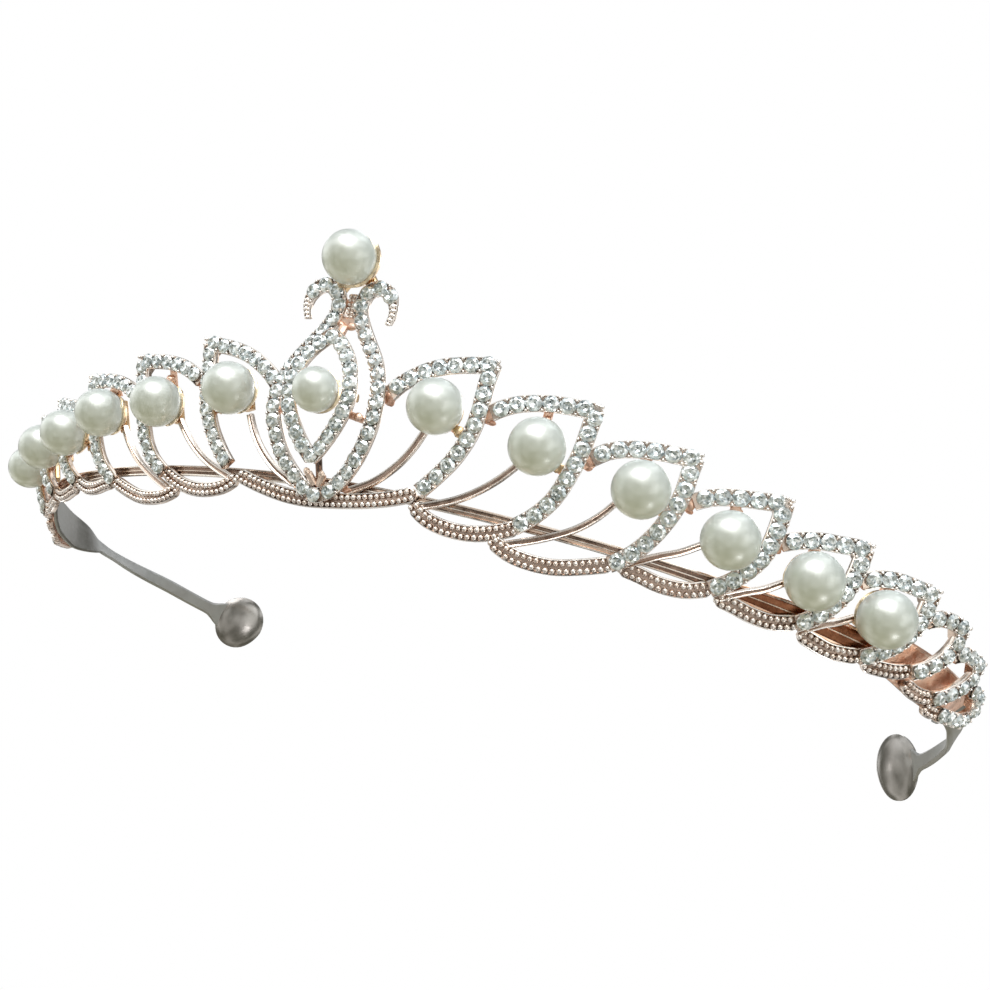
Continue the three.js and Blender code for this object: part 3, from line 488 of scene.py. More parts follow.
def crystal(name):
    m, nt, p = nodes_of(name)
    at = nt.nodes.new("ShaderNodeAttribute")
    at.attribute_name = "tone"
    obj = object_coords(nt)
    # painted sparkle: small random cells shift the facet tone up and down
    spark = add(nt, "ShaderNodeTexVoronoi", Scale=2400.0)
    link(nt, obj, spark.inputs["Vector"])
    cell = add(nt, "ShaderNodeSeparateColor")
    link(nt, spark.outputs["Color"], cell.inputs["Color"])
    mix = add(nt, "ShaderNodeMath", operation="MULTIPLY_ADD")
    link(nt, cell.outputs[0], mix.inputs[0])
    mix.inputs[1].default_value = 0.3
    mix.inputs[2].default_value = -0.15
    tone = add(nt, "ShaderNodeMath", operation="ADD")
    tone.use_clamp = True
    link(nt, at.outputs["Fac"], tone.inputs[0])
    link(nt, mix.outputs[0], tone.inputs[1])
    # facet colours from painted dark reflection to painted white reflection
    col = ramp(nt, tone.outputs[0], [(0.0, lin(100, 112, 120)), (0.3, lin(184, 197, 204)), (0.6, lin(244, 250, 255)), (1.0, lin(255, 255, 255))])
    link(nt, col.outputs["Color"], p.inputs["Base Color"])
    p.inputs["Metallic"].default_value = 0.42
    p.inputs["Roughness"].default_value = 0.12
    p.inputs["Coat Weight"].default_value = 1.0
    p.inputs["Coat Roughness"].default_value = 0.02
    p.inputs["Coat IOR"].default_value = 1.85
    return m


CRYSTAL = crystal("crystal")


def pearl(name):
    m, nt, p = nodes_of(name)
    obj = object_coords(nt)
    cloud = add(nt, "ShaderNodeTexNoise", Scale=520.0, Detail=3.0, Roughness=0.55)
    link(nt, obj, cloud.inputs["Vector"])
    col = ramp(nt, cloud.outputs["Fac"], [(0.35, lin(241, 243, 234)), (0.65, lin(248, 250, 244))])
    # painted rim sheen: the base colour turns paler and cooler towards the rim, by the facing angle
    facing = add(nt, "ShaderNodeLayerWeight", Blend=0.32)
    pearl_rim_sheen = add(nt, "ShaderNodeMix", data_type="RGBA", blend_type="MIX")
    link(nt, facing.outputs["Facing"], pearl_rim_sheen.inputs[0])
    link(nt, col.outputs["Color"], pearl_rim_sheen.inputs[6])
    pearl_rim_sheen.inputs[7].default_value = (*lin(248, 253, 250), 1)
    link(nt, pearl_rim_sheen.outputs[2], p.inputs["Base Color"])
    b = add(nt, "ShaderNodeBump", Strength=0.05, Distance=0.0001)
    link(nt, cloud.outputs["Fac"], b.inputs["Height"])
    link(nt, b.outputs["Normal"], p.inputs["Normal"])
    link(nt, b.outputs["Normal"], facing.inputs["Normal"])
    p.inputs["Roughness"].default_value = 0.3
    p.inputs["Specular IOR Level"].default_value = 0.6
    p.inputs["Coat Weight"].default_value = 1.0
    p.inputs["Coat Roughness"].default_value = 0.36
    p.inputs["Coat IOR"].default_value = 2.4
    p.inputs["Sheen Weight"].default_value = 0.15
    p.inputs["Sheen Roughness"].default_value = 0.4
    return m


PEARL = pearl("pearl")

# ---------------------------------------------------------------- sections of the metal
H = CHANNEL_WIDE / 2


def channel_ring(scale=lambda i, n: 1.0, back=CHANNEL_BACK, out=0.0):
    def ring(i, n):
        h = H * scale(i, n)
        t = min(0.2, h * 0.4)
        return [(-h + 0.22, back), (h - 0.22, back), (h - 0.02, -0.6), (h, -0.16 + out), (h - 0.06, -0.02 + out), (h - t + 0.05, -0.04 + out), (h - t, -0.34),
                (-h + t, -0.34), (-h + t - 0.05, -0.04 + out), (-h + 0.06, -0.02 + out), (-h, -0.16 + out), (-h + 0.02, -0.6)]
    return ring


# painted highlights on the rim tops, painted shade on the back and the channel floor
CHANNEL_SHADING = [0.3, 0.45, 0.8, 1.0, 1.0, 0.6, 0.5, 0.6, 1.0, 1.0, 0.8, 0.45]


def channel(piece, points, pitch=1.1, scale=lambda i, n: 1.0, back=CHANNEL_BACK + 0.3, out=0.0):
    path = spline(points, max(4, round(length_of(points) / pitch)))
    piece.sweep(path, channel_ring(scale, back, out), 0, CHANNEL_SHADING)


def prongs(piece, gaps, radius=0.23, across=0.93, up=0.06, skip_ends=True):
    """Two small claws at every gap between stones."""
    cs = []
    for k, (p, t, n, w) in enumerate(gaps):
        if skip_ends and k in (0, len(gaps) - 1):
            continue
        for side in (-1, 1):
            cs.append(p + n * across * side + w * up)
    beads(piece, cs, radius, 0, 0.9, flat=1.15)


def beaded(piece, points, wide=2.3, back=CHANNEL_BACK, front=-0.5, pitch=0.95, radius=0.42, before=0.0, after=0.0):
    """Lower edge: two thin rims, and between them two rows of round grains over a floor dark with painted shade.
    before and after lengthen its ends, which are rounded."""
    p = [np.array((*q, 0.0)[:3], float) for q in points]
    if before:
        p.insert(0, p[0] + (p[0] - p[1]) / np.linalg.norm(p[0] - p[1]) * before)
    if after:
        p.append(p[-1] + (p[-1] - p[-2]) / np.linalg.norm(p[-1] - p[-2]) * after)
    fine, run = fine_curve(p)
    total, h = run[-1], wide / 2
    near = [0.0, 0.12, 0.35, 0.7, 1.1]
    middle = np.linspace(near[-1], total - near[-1], max(3, round(total / 1.1)))[1:-1]
    at = [*near, *middle, *[total - d for d in reversed(near)]]
    path = curve_at(p, at)

    def ring(i, n):
        d = min(at[i], total - at[i])
        k = max(0.42, math.sqrt(max(0.0, 1 - max(0.0, 1 - d / 1.1) ** 2)))
        g, drop = h * k, 0.25 * (1 - k)
        return [(-g + 0.12, back), (g - 0.12, back), (g, front - 0.5), (g - 0.05 * k, front - 0.24 - drop), (g - 0.2 * k, front - 0.2 - drop), (g - 0.32 * k, front - 0.52),
                (-g + 0.32 * k, front - 0.52), (-g + 0.2 * k, front - 0.2 - drop), (-g + 0.05 * k, front - 0.24 - drop), (-g, front - 0.5)]
    # painted shade on the back and on the floor between the grains, painted highlights on the rims
    piece.sweep(path, ring, 0, [0.3, 0.45, 0.6, 0.95, 0.35, 0.2, 0.35, 0.95, 0.6, 0.45])
    count = max(3, round((total - 0.9) / pitch))
    where = np.linspace(0.45, total - 0.45, count + 1)
    for side in (-1, 1):
        dist = where + (0.22 if side > 0 else -0.22) * pitch
        c, a, b = curve_at(p, dist), curve_at(p, dist - 0.05), curve_at(p, dist + 0.05)
        cs, rs = [], []
        for i in range(count + 1):
            d = (b[i] - a[i])[:2] / max(1e-9, np.linalg.norm((b[i] - a[i])[:2]))
            off = side * 0.51 * min(1.0, 0.55 + min(dist[i], total - dist[i]) * 0.5)
            cs.append((c[i][0] - off * d[1], c[i][1] + off * d[0], c[i][2] + front - 0.14))
            rs.append(radius * RNG.uniform(0.9, 1.08))
        piece.stamps(BALL_MID[0], BALL_MID[1], [(q, EYE, r) for q, r in zip(cs, rs)], 0, [RNG.uniform(0.6, 1.0) for _ in cs])


def rounded(h, low, high, r=0.2):
    return [(-h + r, low), (h - r, low), (h, low + r), (h, high - r), (h - r, high), (-h + r, high), (-h, high - r), (-h, low + r)]


def grooved(h, low, high):
    """Two rails with a groove between them."""
    g = h * 0.16
    return [(-h, low + 0.1), (-h + 0.1, low), (h - 0.1, low), (h, low + 0.1), (h, high - 0.16), (h - 0.12, high), (g + 0.2, high - 0.02),
            (g, high - 0.22), (-g, high - 0.22), (-g - 0.2, high - 0.02), (-h + 0.12, high), (-h, high - 0.16)]


# painted highlights on the two rails, painted shade in the groove between them
GROOVED_SHADING = [0.45, 0.45, 0.45, 0.75, 1.0, 1.0, 0.35, 0.1, 0.35, 1.0, 1.0, 0.75]


def strap(piece, a, b, h, low, high, mat=2, tone=0.6, steps=4):
    a, b = np.array((*a, 0.0)[:3], float), np.array((*b, 0.0)[:3], float)
    path = [a + (b - a) * k / steps for k in range(steps + 1)]
    piece.sweep(path, lambda i, n: rounded(h, low, high, min(0.25, h * 0.45)), mat, tone)


def cup(piece, s, v, w, r, angle, mat=3, seed=0, thick=0.42):
    """Shell behind a pearl, with an uneven rim of glue."""
    o, axes = frame_at(-s if piece.left else s, v, w)
    seg, rings = 28, 7
    rng = np.random.default_rng(500 + seed)
    waves = [(rng.uniform(0.8, 2.4), rng.integers(2, 7), rng.uniform(0, 6.28)) for _ in range(3)]
    pts, faces, tones = [], [], []
    for shell_r, order in ((r + thick, range(rings + 1)), (r + 0.04, range(rings, -1, -1))):
        for q in order:
            for k in range(seg):
                a = 2 * math.pi * k / seg
                rim = angle + sum(x * math.sin(m * a + ph) for x, m, ph in waves)
                t = math.radians(rim) * max(q, 0.02) / rings
                rr = shell_r - (0.12 if q == rings and shell_r > r + 0.1 else 0.0)
                pts.append((rr * math.sin(t) * math.cos(a), rr * math.sin(t) * math.sin(a), -rr * math.cos(t)))
    n = 2 * (rings + 1)
    for q in range(n - 1):
        for k in range(seg):
            m = (k + 1) % seg
            faces.append((q * seg + k, q * seg + m, (q + 1) * seg + m, (q + 1) * seg + k))
            # painted highlight on the cup's rim, painted shade on its inside
            tones.append(0.55 if q < rings else 1.0 if q == rings else 0.3)
    faces.append(tuple(reversed(range(seg))))
    faces.append(tuple((n - 1) * seg + k for k in range(seg)))
    tones += [0.4, 0.3]
    world = o + (np.array(pts) / 1000) @ axes
    # the axes of a mirrored frame already face outwards; the winding follows from the volume
    vol = 0.0
    for f in faces[:-2]:
        a, b, c, d = (world[i] - o for i in f)
        vol += np.dot(a, np.cross(b, c)) + np.dot(a, np.cross(c, d))
    piece.shell(world, faces, mat, tones, flip=vol < 0)


def leaf_pattern(i, left):
    d = dict(LEAVES[i])
    tall = d.get("tallL", 1) if left else 1
    if left and (d.get("tallL") or d.get("pearlL")):
        up = lambda q: (q[0], q[1] * tall)
        d["top"], d["arm"] = [up(q) for q in d["top"]], [up(q) for q in d["arm"]]
        d["lugs"] = [tuple(up(q) for q in l) for l in d["lugs"]]
    return d


METALS = [ROSE, CRYSTAL, SOLDER, GOLD, STRIP, GREY, PADS]


def build_leaf(i, side):
    left = side == "left"
    d = leaf_pattern(i, left)
    pearl_at = (d.get("pearlL") if left else None) or d.get("pearl")
    p = Piece(left)
    a, b = d["top"][:2]
    row = [(a[0] * 0.8 + b[0] * 0.2, a[1] * 0.8 + b[1] * 0.2), *d["top"][1:], *d["arm"][1:]]
    places, gaps = stone_places(lifted(row))
    channel(p, lifted(d["top"]))
    channel(p, lifted(d["arm"]))
    prongs(p, gaps)
    # pointed tip with its claws
    t = d["arm"][0]
    tip = np.array(lifted([(t[0] + 0.55, t[1] + 0.6)])[0])
    p.sweep([*lifted([(t[0] - 1.4, t[1] - 1.1)]), *lifted([(t[0] + 0.1, t[1] + 0.15)]), tuple(tip)], lambda k, n: rounded([1.1, 0.95, 0.5][k], CHANNEL_BACK, -0.25, 0.15), 0, 0.8)
    beads(p, [tip + [0.12, 0.14, 0.0], tip + [-0.62, 0.22, 0.0], tip + [0.22, -0.72, 0.0]], [0.33, 0.25, 0.25], 0, 1.0)
    if d.get("edge"):
        beaded(p, d["edge"], before=0.5, after=0.25)
    l, l2 = d["top"][0], d["top"][1]
    back = (l[0] - (l2[0] - l[0]) * 0.7, l[1] - (l2[1] - l[1]) * 0.7)
    strap(p, (*back, 0.75), (l[0] + 0.5, l[1] + 0.4, 0.75), 0.85, CHANNEL_BACK + 0.1, CHANNEL_FRONT + 0.1)
    lump(p, (l[0] - 0.35, l[1] - 0.35, -0.25), (0.9, 0.95, 0.62), 2, 0.6, seed=i * 7 + left)
    lump(p, (l[0] - 0.1, l[1] - 1.15, -0.5), (0.6, 0.5, 0.45), 2, 0.45, seed=i * 7 + 3 + left)
    if pearl_at:
        dv = (pearl_at[0] - d["pearl"][0], pearl_at[1] - d["pearl"][1])
        k = len(d["stem"]) - 1
        stem = [(q[0] + dv[0] * j / k, q[1] + dv[1] * j / k, 0.2 if j == 0 else 0.0) for j, q in enumerate(d["stem"])]
        path = spline(stem, max(6, round(length_of(stem) / 1.2)))
        p.sweep(path, lambda j, n: grooved(0.56 - 0.08 * j / n, -1.6, -0.72), 0, GROOVED_SHADING)
        pw = pearl_at[2] if len(pearl_at) > 2 else PEARL_W
        for j, (a, b) in enumerate(d["lugs"]):
            strap(p, (a[0] + dv[0], a[1] + dv[1], -0.1), (b[0], b[1], 0.6), 0.62, CHANNEL_BACK + 0.1, CHANNEL_FRONT - 0.05)
            m = ((a[0] + dv[0]) * 0.55 + b[0] * 0.45, (a[1] + dv[1]) * 0.55 + b[1] * 0.45, -0.15)
            lump(p, m, (0.85, 0.75, 0.6), 2 + (j == 0), 0.65, seed=40 + i * 5 + j + 90 * left)
        cup(p, pearl_at[0], pearl_at[1], pw, PEARL_R, 54, 3, seed=i + 20 * left)
        # strap from the leaf's back to the cup
        strap(p, (pearl_at[0] - 0.8, pearl_at[1] - 2.6, -1.2), (pearl_at[0] + 0.6, pearl_at[1] + 2.4, -1.2), 0.9, -1.6, -0.6, 3, 0.4)
    p.make(f"leaf_{side}_{i + 1}_casting", [f"leaf_frame_{side}_{i + 1}"], METALS)
    q = Piece(left)
    q.stamps(STONE[0], STONE[1], places, 0, stone_tones(len(places)))
    q.make(f"leaf_{side}_{i + 1}_stones", [f"stone_row_{side}_{i + 1}"], [CRYSTAL], angle=4.0)
    if pearl_at:
        build_pearl(f"pearl_{side}_{i + 1}_ball", f"pearl_{side}_{i + 1}", (-1 if left else 1) * pearl_at[0], pearl_at[1], pw, PEARL_R)


def build_pearl(name, node, s, v, w, r):
    """A round bead with the small dimple of its drilled side at the back."""
    o, axes = frame_at(s, v, w)
    seg, rings = 48, 32
    pts, faces = [], []
    for q in range(1, rings):
        t = math.pi * q / rings
        for k in range(seg):
            a = 2 * math.pi * k / seg
            pts.append((r * math.sin(t) * math.cos(a), r * math.sin(t) * math.sin(a), r * math.cos(t)))
    top, bottom = len(pts), len(pts) + 1
    pts += [(0, 0, r), (0, 0, -r + 0.4)]
    for k in range(seg):
        m = (k + 1) % seg
        faces.append((top, k, m))
        for q in range(rings - 2):
            a = q * seg
            faces.append((a + k, a + seg + k, a + seg + m, a + m))
        faces.append(((rings - 2) * seg + k, bottom, (rings - 2) * seg + m))
    p = Piece()
    p.shell(o + (np.array(pts) / 1000) @ axes, faces, 0, 1.0, flip=np.linalg.det(axes) < 0)
    p.make(name, [node], [PEARL], angle=80)


def build_centre():
    p = Piece()
    # outer arms: the last grains of each hook are plain and taper
    for side in (1, -1):
        pts = [(s * side, v, w) for s, v, w in CENTRE_ARM]
        channel(p, pts, 1.0, scale=lambda i, n: 0.96 * (1 - 0.62 * float(smooth(i / (n - 1), 0.86, 1.0))), back=CHANNEL_BACK + 0.35)
        places, gaps = stone_places(pts[:-2])
        prongs(p, gaps, 0.22, 0.9)
        q = Piece()
        q.stamps(STONE[0], STONE[1], places, 0, stone_tones(len(places)))
        # a mirrored row keeps its facets facing out
        q.make(f"centre_{'right' if side > 0 else 'left'}_stones", [f"centre_stones_{'right' if side > 0 else 'left'}"], [CRYSTAL], angle=4.0)
        tail = spline(pts[-4:], 7)
        beads(p, [(*c[:2], c[2] - 0.12) for c in tail[3:]], [0.5, 0.46, 0.42, 0.38, 0.33][:len(tail[3:])], 0, 0.95)
        for across in (-0.55, 0.55):
            line = []
            for k in range(2, len(tail)):
                dd = tail[k][:2] - tail[k - 1][:2]
                dd /= np.linalg.norm(dd)
                line.append((tail[k][0] - across * dd[1] * (1 - 0.09 * k), tail[k][1] + across * dd[0] * (1 - 0.09 * k), tail[k][2] - 0.15))
            beads(p, line, 0.26, 0, 1.0)
    foot = Piece()
    foot.stamps(STONE[0], STONE[1], [((-0.15, 0.4, 0.18), EYE, 1.12)], 0, stone_tones(1))
    foot.make("centre_foot_stone", ["centre_stones_right"], [CRYSTAL], angle=4.0)
    channel(p, [(-1.3, 0.65, 0.1), (0.0, 0.35, 0.05), (1.3, 0.65, 0.1)], 0.5, scale=lambda i, n: 1.0, back=CHANNEL_BACK + 0.3)
    # neck: cross bar, beaded upright between the arms
    strap(p, (-2.0, 26.2, 0), (2.0, 26.2, 0), 0.75, -1.7, -0.55, 2, 0.8)
    strap(p, (0, 26.0, 0), (0, 30.4, 0), 0.62, -1.6, -0.75, 0, 0.4)
    beads(p, [(x, 26.9 + 0.62 * k, -0.62) for k in range(6) for x in (-0.32, 0.32)], 0.31, 0, 0.85)
    strap(p, (-1.9, 29.0, 0), (1.9, 29.0, 0), 0.6, -1.7, -0.7, 2, 0.5)
    lump(p, (0.9, 25.6, -0.7), (0.8, 0.6, 0.5), 2, 0.8, 301)
    lump(p, (-0.9, 25.7, -0.6), (0.7, 0.6, 0.5), 2, 0.7, 302)
    # foot: a plate between the arms and two V-shaped supports
    strap(p, (-2.7, 1.4, 0.1), (2.7, 1.4, 0.1), 1.1, -1.7, -0.6, 0, 0.4)
    for side in (1, -1):
        strap(p, (side * 0.25, 1.7, 0.6), (side * 1.3, 3.5, 1.5), 0.5, -1.3, -0.3, 2, 0.95)
        lump(p, (side * 1.35, 3.6, 1.15), (0.5, 0.45, 0.4), 2, 0.95, 350 + side)
        lump(p, (side * 4.3, 2.0, -0.9), (1.0, 0.6, 0.5), 2, 0.5, 310 + side)
        lump(p, (side * 9.2, 16.0, -0.1), (0.75, 1.0, 0.6), 2, 0.6, 320 + side)
    p.make("centre_casting", ["centre_frame"], METALS)

    p = Piece()
    for side in (1, -1):
        channel(p, [(s * side, v, w) for s, v, w in MARQUISE], 1.0, scale=lambda i, n: 0.92, back=CHANNEL_BACK + 0.4)
    rows = []
    for side in (1, -1):
        whole = [(s * side, v, w) for s, v, w in MARQUISE]
        places, gaps = stone_places(curve_at(whole, np.linspace(1.15, fine_curve(whole)[1][-1] - 1.15, 24)))
        prongs(p, gaps, 0.22, 0.86)
        rows += places
    for v, w in ((5.75, 2.95), (23.1, 3.0)):
        rows.append(((0, v, w), EYE, 1.1))
    strap(p, (-4.2, CENTRE_PEARL_V, 3.6), (4.2, CENTRE_PEARL_V, 3.6), 0.6, -3.25, -2.6, 3, 0.5)
    for side in (1, -1):
        strap(p, (side * 3.8, CENTRE_PEARL_V, 3.6), (side * 4.8, CENTRE_PEARL_V, 3.9), 0.6, -3.2, -0.8, 3, 0.5)
        strap(p, (side * 4.6, 12.4, 3.3), (side * 6.9, 12.0, 2.7), 0.55, -1.6, -0.85, 2, 0.7)
        lump(p, (side * 6.0, 12.2, 2.0), (0.8, 0.62, 0.5), 2, 0.75, 330 + side)
    cup(p, 0, CENTRE_PEARL_V, CENTRE_PEARL_W, CENTRE_PEARL_R, 62, 3, seed=60, thick=0.5)
    p.sweep([(0, 6.6, 2.3), (0, 5.4, 1.85), (0, 4.3, 1.4), (0, 2.9, 0.8)], lambda k, n: rounded(0.5, -1.7, -0.95, 0.2), 0, 0.1)
    p.sweep([(0, 22.6, 1.9), (0, 23.8, 1.3), (0, 24.6, 0.9), (0, 25.4, 0.35)], lambda k, n: rounded(0.6, -0.9, 0.2, 0.2), 2, 0.7)
    p.make("marquise_casting", ["marquise_frame"], METALS)
    q = Piece()
    q.stamps(STONE[0], STONE[1], rows, 0, stone_tones(len(rows)))
    q.make("marquise_row", ["marquise_stones"], [CRYSTAL], angle=4.0)

    p = Piece()
    beaded(p, BASE_EDGE, before=0.5, after=0.7)
    p.make("centre_base_casting", ["centre_base_edge"], METALS)

    p = Piece()
    for side in (1, -1):
        p.sweep([(side * 1.2, 33.7, 0), (side * 2.1, 32.5, 0), (side * 2.7, 31.6, 0), (side * 3.1, 30.9, 0)], lambda k, n: rounded(0.6, -2.9, -1.7, 0.2), 3, 0.6)
        lump(p, (side * 2.3, 32.1, -1.2), (0.75, 0.7, 0.7), 3, 0.7, 340 + side)
    cup(p, 0, TOP_PEARL_V, PEARL_W, PEARL_R, 70, 3, seed=61, thick=0.6)
    p.make("finial_setting", ["finial_cup"], METALS)
    build_pearl("pearl_finial_ball", "pearl_finial", 0, TOP_PEARL_V, PEARL_W, PEARL_R)
    build_pearl("pearl_centre_ball", "pearl_centre", 0, CENTRE_PEARL_V, CENTRE_PEARL_W, CENTRE_PEARL_R)


def band_wide(s):
    return 1.6 + 1.8 * float(smooth(abs(s), 50, 80))


def build_band():
    p = Piece()
    path = [(s, 2.3 + 0.1 * math.cos(s / 30), 0.0) for s in np.arange(-BAND_END, BAND_END + 0.01, 1.5)]

    def ring(i, n):
        h = band_wide(path[i][0]) / 2
        e = min(0.5, h * 0.48)
        half = [(h, BAND_BACK + 0.12), (h, -1.78), (h - 0.12, -1.64), (h - e + 0.12, -1.66), (h - e, -1.9), (0.14, -1.88), (0.07, -1.74)]
        return [(-h + 0.1, BAND_BACK), (h - 0.1, BAND_BACK), *half, *[(-a, o) for a, o in reversed(half)]]
    # painted highlights on the rails and rib, painted shade in the grooves, and painted highlight streaks wandering
    # along the strip
    base = [0.6, 0.6, 0.5, 0.8, 1.0, 0.3, 0.2, 0.5, 0.9, 0.5, 0.2, 0.3, 1.0, 0.8, 0.5, 0.6]
    painted_streaks = 0.3 * np.sin(np.cumsum(RNG.normal(size=(len(path), 16)) * 0.35, axis=0))
    p.sweep(path, ring, 0, lambda i, j: float(np.clip(base[j] + painted_streaks[i][j], 0, 1)))
    for k in range(len(path) - 1):         # its ends are a warmer gold
        if abs(path[k][0]) > 59:
            for j in range(3, 14):
                p.mat[k * 16 + j] = 1
    p.make("headband_strip_bar", ["headband_strip"], [STRIP, STRIP_WARM])


def plate_wide(s):
    grow = 6.0 + 1.0 * float(smooth(s, 86, 96))
    root = math.sqrt(max(0.02, 1 - max(0.0, (s - 106.5) / 7.6) ** 2))
    return grow * root * (0.62 + (s - BAND_END) * 0.095 if s < 88 else 1)


def build_arm(side):
    left = side == "left"
    p = Piece(left)
    # plate behind the last leaves, rose gold outside, running into the grey arm in one strip
    end = PAD_S - PAD_JOIN + 0.5
    run = [*np.arange(BAND_END + 0.4, 106.0, 1.1), *np.arange(106.0, 116.0, 0.45), *np.arange(116.0, end - 0.5, 1.2), end]

    def half(s):
        arm_h = (ARM_WIDE + 1.1 * (1 - float(smooth(s, 111, 121))) + 3.4 * float(smooth(s, PAD_S - 9.0, PAD_S - 3.4))) / 2
        plate_h = plate_wide(s) / 2 if s < 114.0 else 0.0
        return (arm_h ** 6 + plate_h ** 6) ** (1 / 6) if s > 104 else plate_h

    path = []
    for s in run:
        arm_v, arm_w = 2.4 + 1.3 * float(smooth(s, 118, 142)), PAD_JOIN * math.tan(PAD_TURN) * float(smooth(s, 136, 157))
        path.append((s, 2.7 - 0.5 * float(smooth(s, 86, 96)) if s < 104 else 2.2 + 0.2 * float(smooth(s, 104, 112)) if s < 112 else arm_v, arm_w))

    def ring(i, n):
        s = path[i][0]
        h, soft = half(s), float(smooth(s, 110, 116))
        thin = 0.27 * float(smooth(s, PAD_S - 9.0, PAD_S - 5.0))
        low, high = BAND_BACK + thin, BAND_FRONT - thin
        r = min(0.3 + 0.12 * soft, h * 0.4, (high - low) * 0.48)
        f = high - 0.12 * (1 - soft)
        twist = ARM_TWIST * float(smooth(s, 104, 113)) * (1 - float(smooth(s, 118, 142)))
        pivot = 3.5 - 1.3 * float(smooth(s, 109, 115))
        return [(a, o + twist * (a - pivot)) for a, o in (
            (-h + r, low), (h - r, low), (h, low + r), (h, high - r * 0.8), (h - r, high), (h - r - 0.3, f),
            (-h + r + 0.3, f), (-h + r, high), (-h, high - r * 0.8), (-h, low + r))]
    n0 = len(p.f)

    # painted shade on the inner faces, darkest on the plate and lighter along the arm; painted highlights on the front
    # rim bevels
    def shade(i, j):
        s = path[i][0]
        inside = 0.05 + 0.57 * float(smooth(s, 108, 118))
        outside = [0.5, 0.5, 0.5, 0.6, 0.9, 0.6, 0.9, 0.6, 0.5, 0.5][j]
        return inside if j in (0, 1, 9) or s > 112 else outside
    p.sweep(path, ring, 5, shade)
    for k in range(len(path) - 1):         # the outer faces of the plate take the solder gold, its other faces stay grey
        for j in (3, 4, 5, 6, 7):
            if path[k][0] < 112.3:
                p.mat[n0 + k * 10 + j] = 2
    # pad: a shallow dome with a slightly pointed foot
    o, axes = frame_at(-PAD_S if left else PAD_S, PAD_V, (ARM_BACK + ARM_FRONT) / 2)
    ds, dw = axes[0].copy() * (-1 if left else 1), axes[2].copy()      # away from the arm, and outwards
    ds, dw = math.cos(PAD_TURN) * ds - math.sin(PAD_TURN) * dw, math.cos(PAD_TURN) * dw + math.sin(PAD_TURN) * ds
    axes = np.stack([ds * (-1 if left else 1), axes[1], dw])
    seg, rings = 40, 12
    pts, faces = [(0, 0, -1.25)], []
    for q in range(1, rings + 1):
        u = q / rings
        for k in range(seg):
            a = 2 * math.pi * k / seg
            point = 1 - 0.05 * max(0.0, -math.sin(a)) * abs(math.cos(a)) ** 2 * 2
            pts.append((PAD_LONG / 2 * u * math.cos(a) * point, PAD_TALL / 2 * u * math.sin(a), -0.45 - 0.8 * (1 - u * u) + 0.3 * u ** 8))
    for q in range(1, rings + 1):
        u = 1 - (q - 1) / rings
        for k in range(seg):
            a = 2 * math.pi * k / seg
            point = 1 - 0.05 * max(0.0, -math.sin(a)) * abs(math.cos(a)) ** 2 * 2
            pts.append((PAD_LONG / 2 * u * math.cos(a) * point, PAD_TALL / 2 * u * math.sin(a), 0.2 + 0.3 * (1 - u * u)))
    pts.append((0, 0, 0.5))
    for k in range(seg):
        m = (k + 1) % seg
        faces.append((0, 1 + m, 1 + k))
        for q in range(2 * rings - 1):
            a = 1 + q * seg
            faces.append((a + k, a + m, a + seg + m, a + seg + k))
        faces.append((1 + (2 * rings - 1) * seg + k, 1 + (2 * rings - 1) * seg + m, len(pts) - 1))
    local = np.array(pts) * ([-1, 1, 1] if left else [1, 1, 1])
    world = o + (local / 1000) @ axes
    p.shell(world, faces, 6, 0.45, flip=left)
    p.make(f"side_arm_{side}_metal", [f"side_arm_{side}"], METALS)


# -------------------------------------------------------------------------- camera
VIEW_AT = np.array([96.27906, -136.95028, -51.28303])
VIEW_AXES = np.array([[0.89555, 0.33309, 0.29503], [0.13123, 0.43583, -0.89041], [-0.42517, 0.83612, 0.34660]])
cam = bpy.data.cameras.new("camera")
cam_ob = bpy.data.objects.new("camera", cam)
bpy.context.scene.collection.objects.link(cam_ob)
zero = place([0, 0, 0])
right, down, ahead = (place(a * 1000) - zero for a in VIEW_AXES)
m = Matrix(((right[0], -down[0], -ahead[0], 0), (right[1], -down[1], -ahead[1], 0), (right[2], -down[2], -ahead[2], 0), (0, 0, 0, 1)))
m.translation = Vector(place(VIEW_AT))
cam_ob.matrix_world = m
cam.sensor_width = 36.0
cam.lens = 36.0 * 1200 / 990
cam.shift_x, cam.shift_y = (495 - 488.86) / 990, (492.08 - 495) / 990
cam.clip_start, cam.clip_end = 0.005, 20
bpy.context.scene.camera = cam_ob

# -------------------------------------------------------------------------- object
for side in ("right", "left"):
    for i in range(len(LEAVES)):
        build_leaf(i, side)
    build_arm(side)
build_centre()
build_band()

# --------------------------------------------------------------------- floor and light
scene = bpy.context.scene
scene.view_settings.view_transform = "Standard"
scene.view_settings.look = "None"

bpy.ops.mesh.primitive_circle_add(vertices=96, radius=2.4, fill_type="NGON", location=(0, 0, -0.10))
floor = bpy.context.object
floor.name = "floor"
mf, nt, pb = nodes_of("floor_pale")
obj = object_coords(nt)
ln = add(nt, "ShaderNodeVectorMath", operation="LENGTH")
link(nt, obj, ln.inputs[0])
far = ramp(nt, ln.outputs["Value"], [(0.0, (0.97, 0.97, 0.97)), (0.3, (1, 1, 1))])
pb.inputs["Base Color"].default_value = (0.93, 0.93, 0.93, 1)
pb.inputs["Roughness"].default_value = 0.9
grain = add(nt, "ShaderNodeTexNoise", Scale=60.0)
link(nt, obj, grain.inputs["Vector"])
bmp = add(nt, "ShaderNodeBump", Strength=0.02)
link(nt, grain.outputs["Fac"], bmp.inputs["Height"])
link(nt, bmp.outputs["Normal"], pb.inputs["Normal"])
em = add(nt, "ShaderNodeEmission", Color=(1, 1, 1, 1), Strength=1.0)
mx = nt.nodes.new("ShaderNodeMixShader")
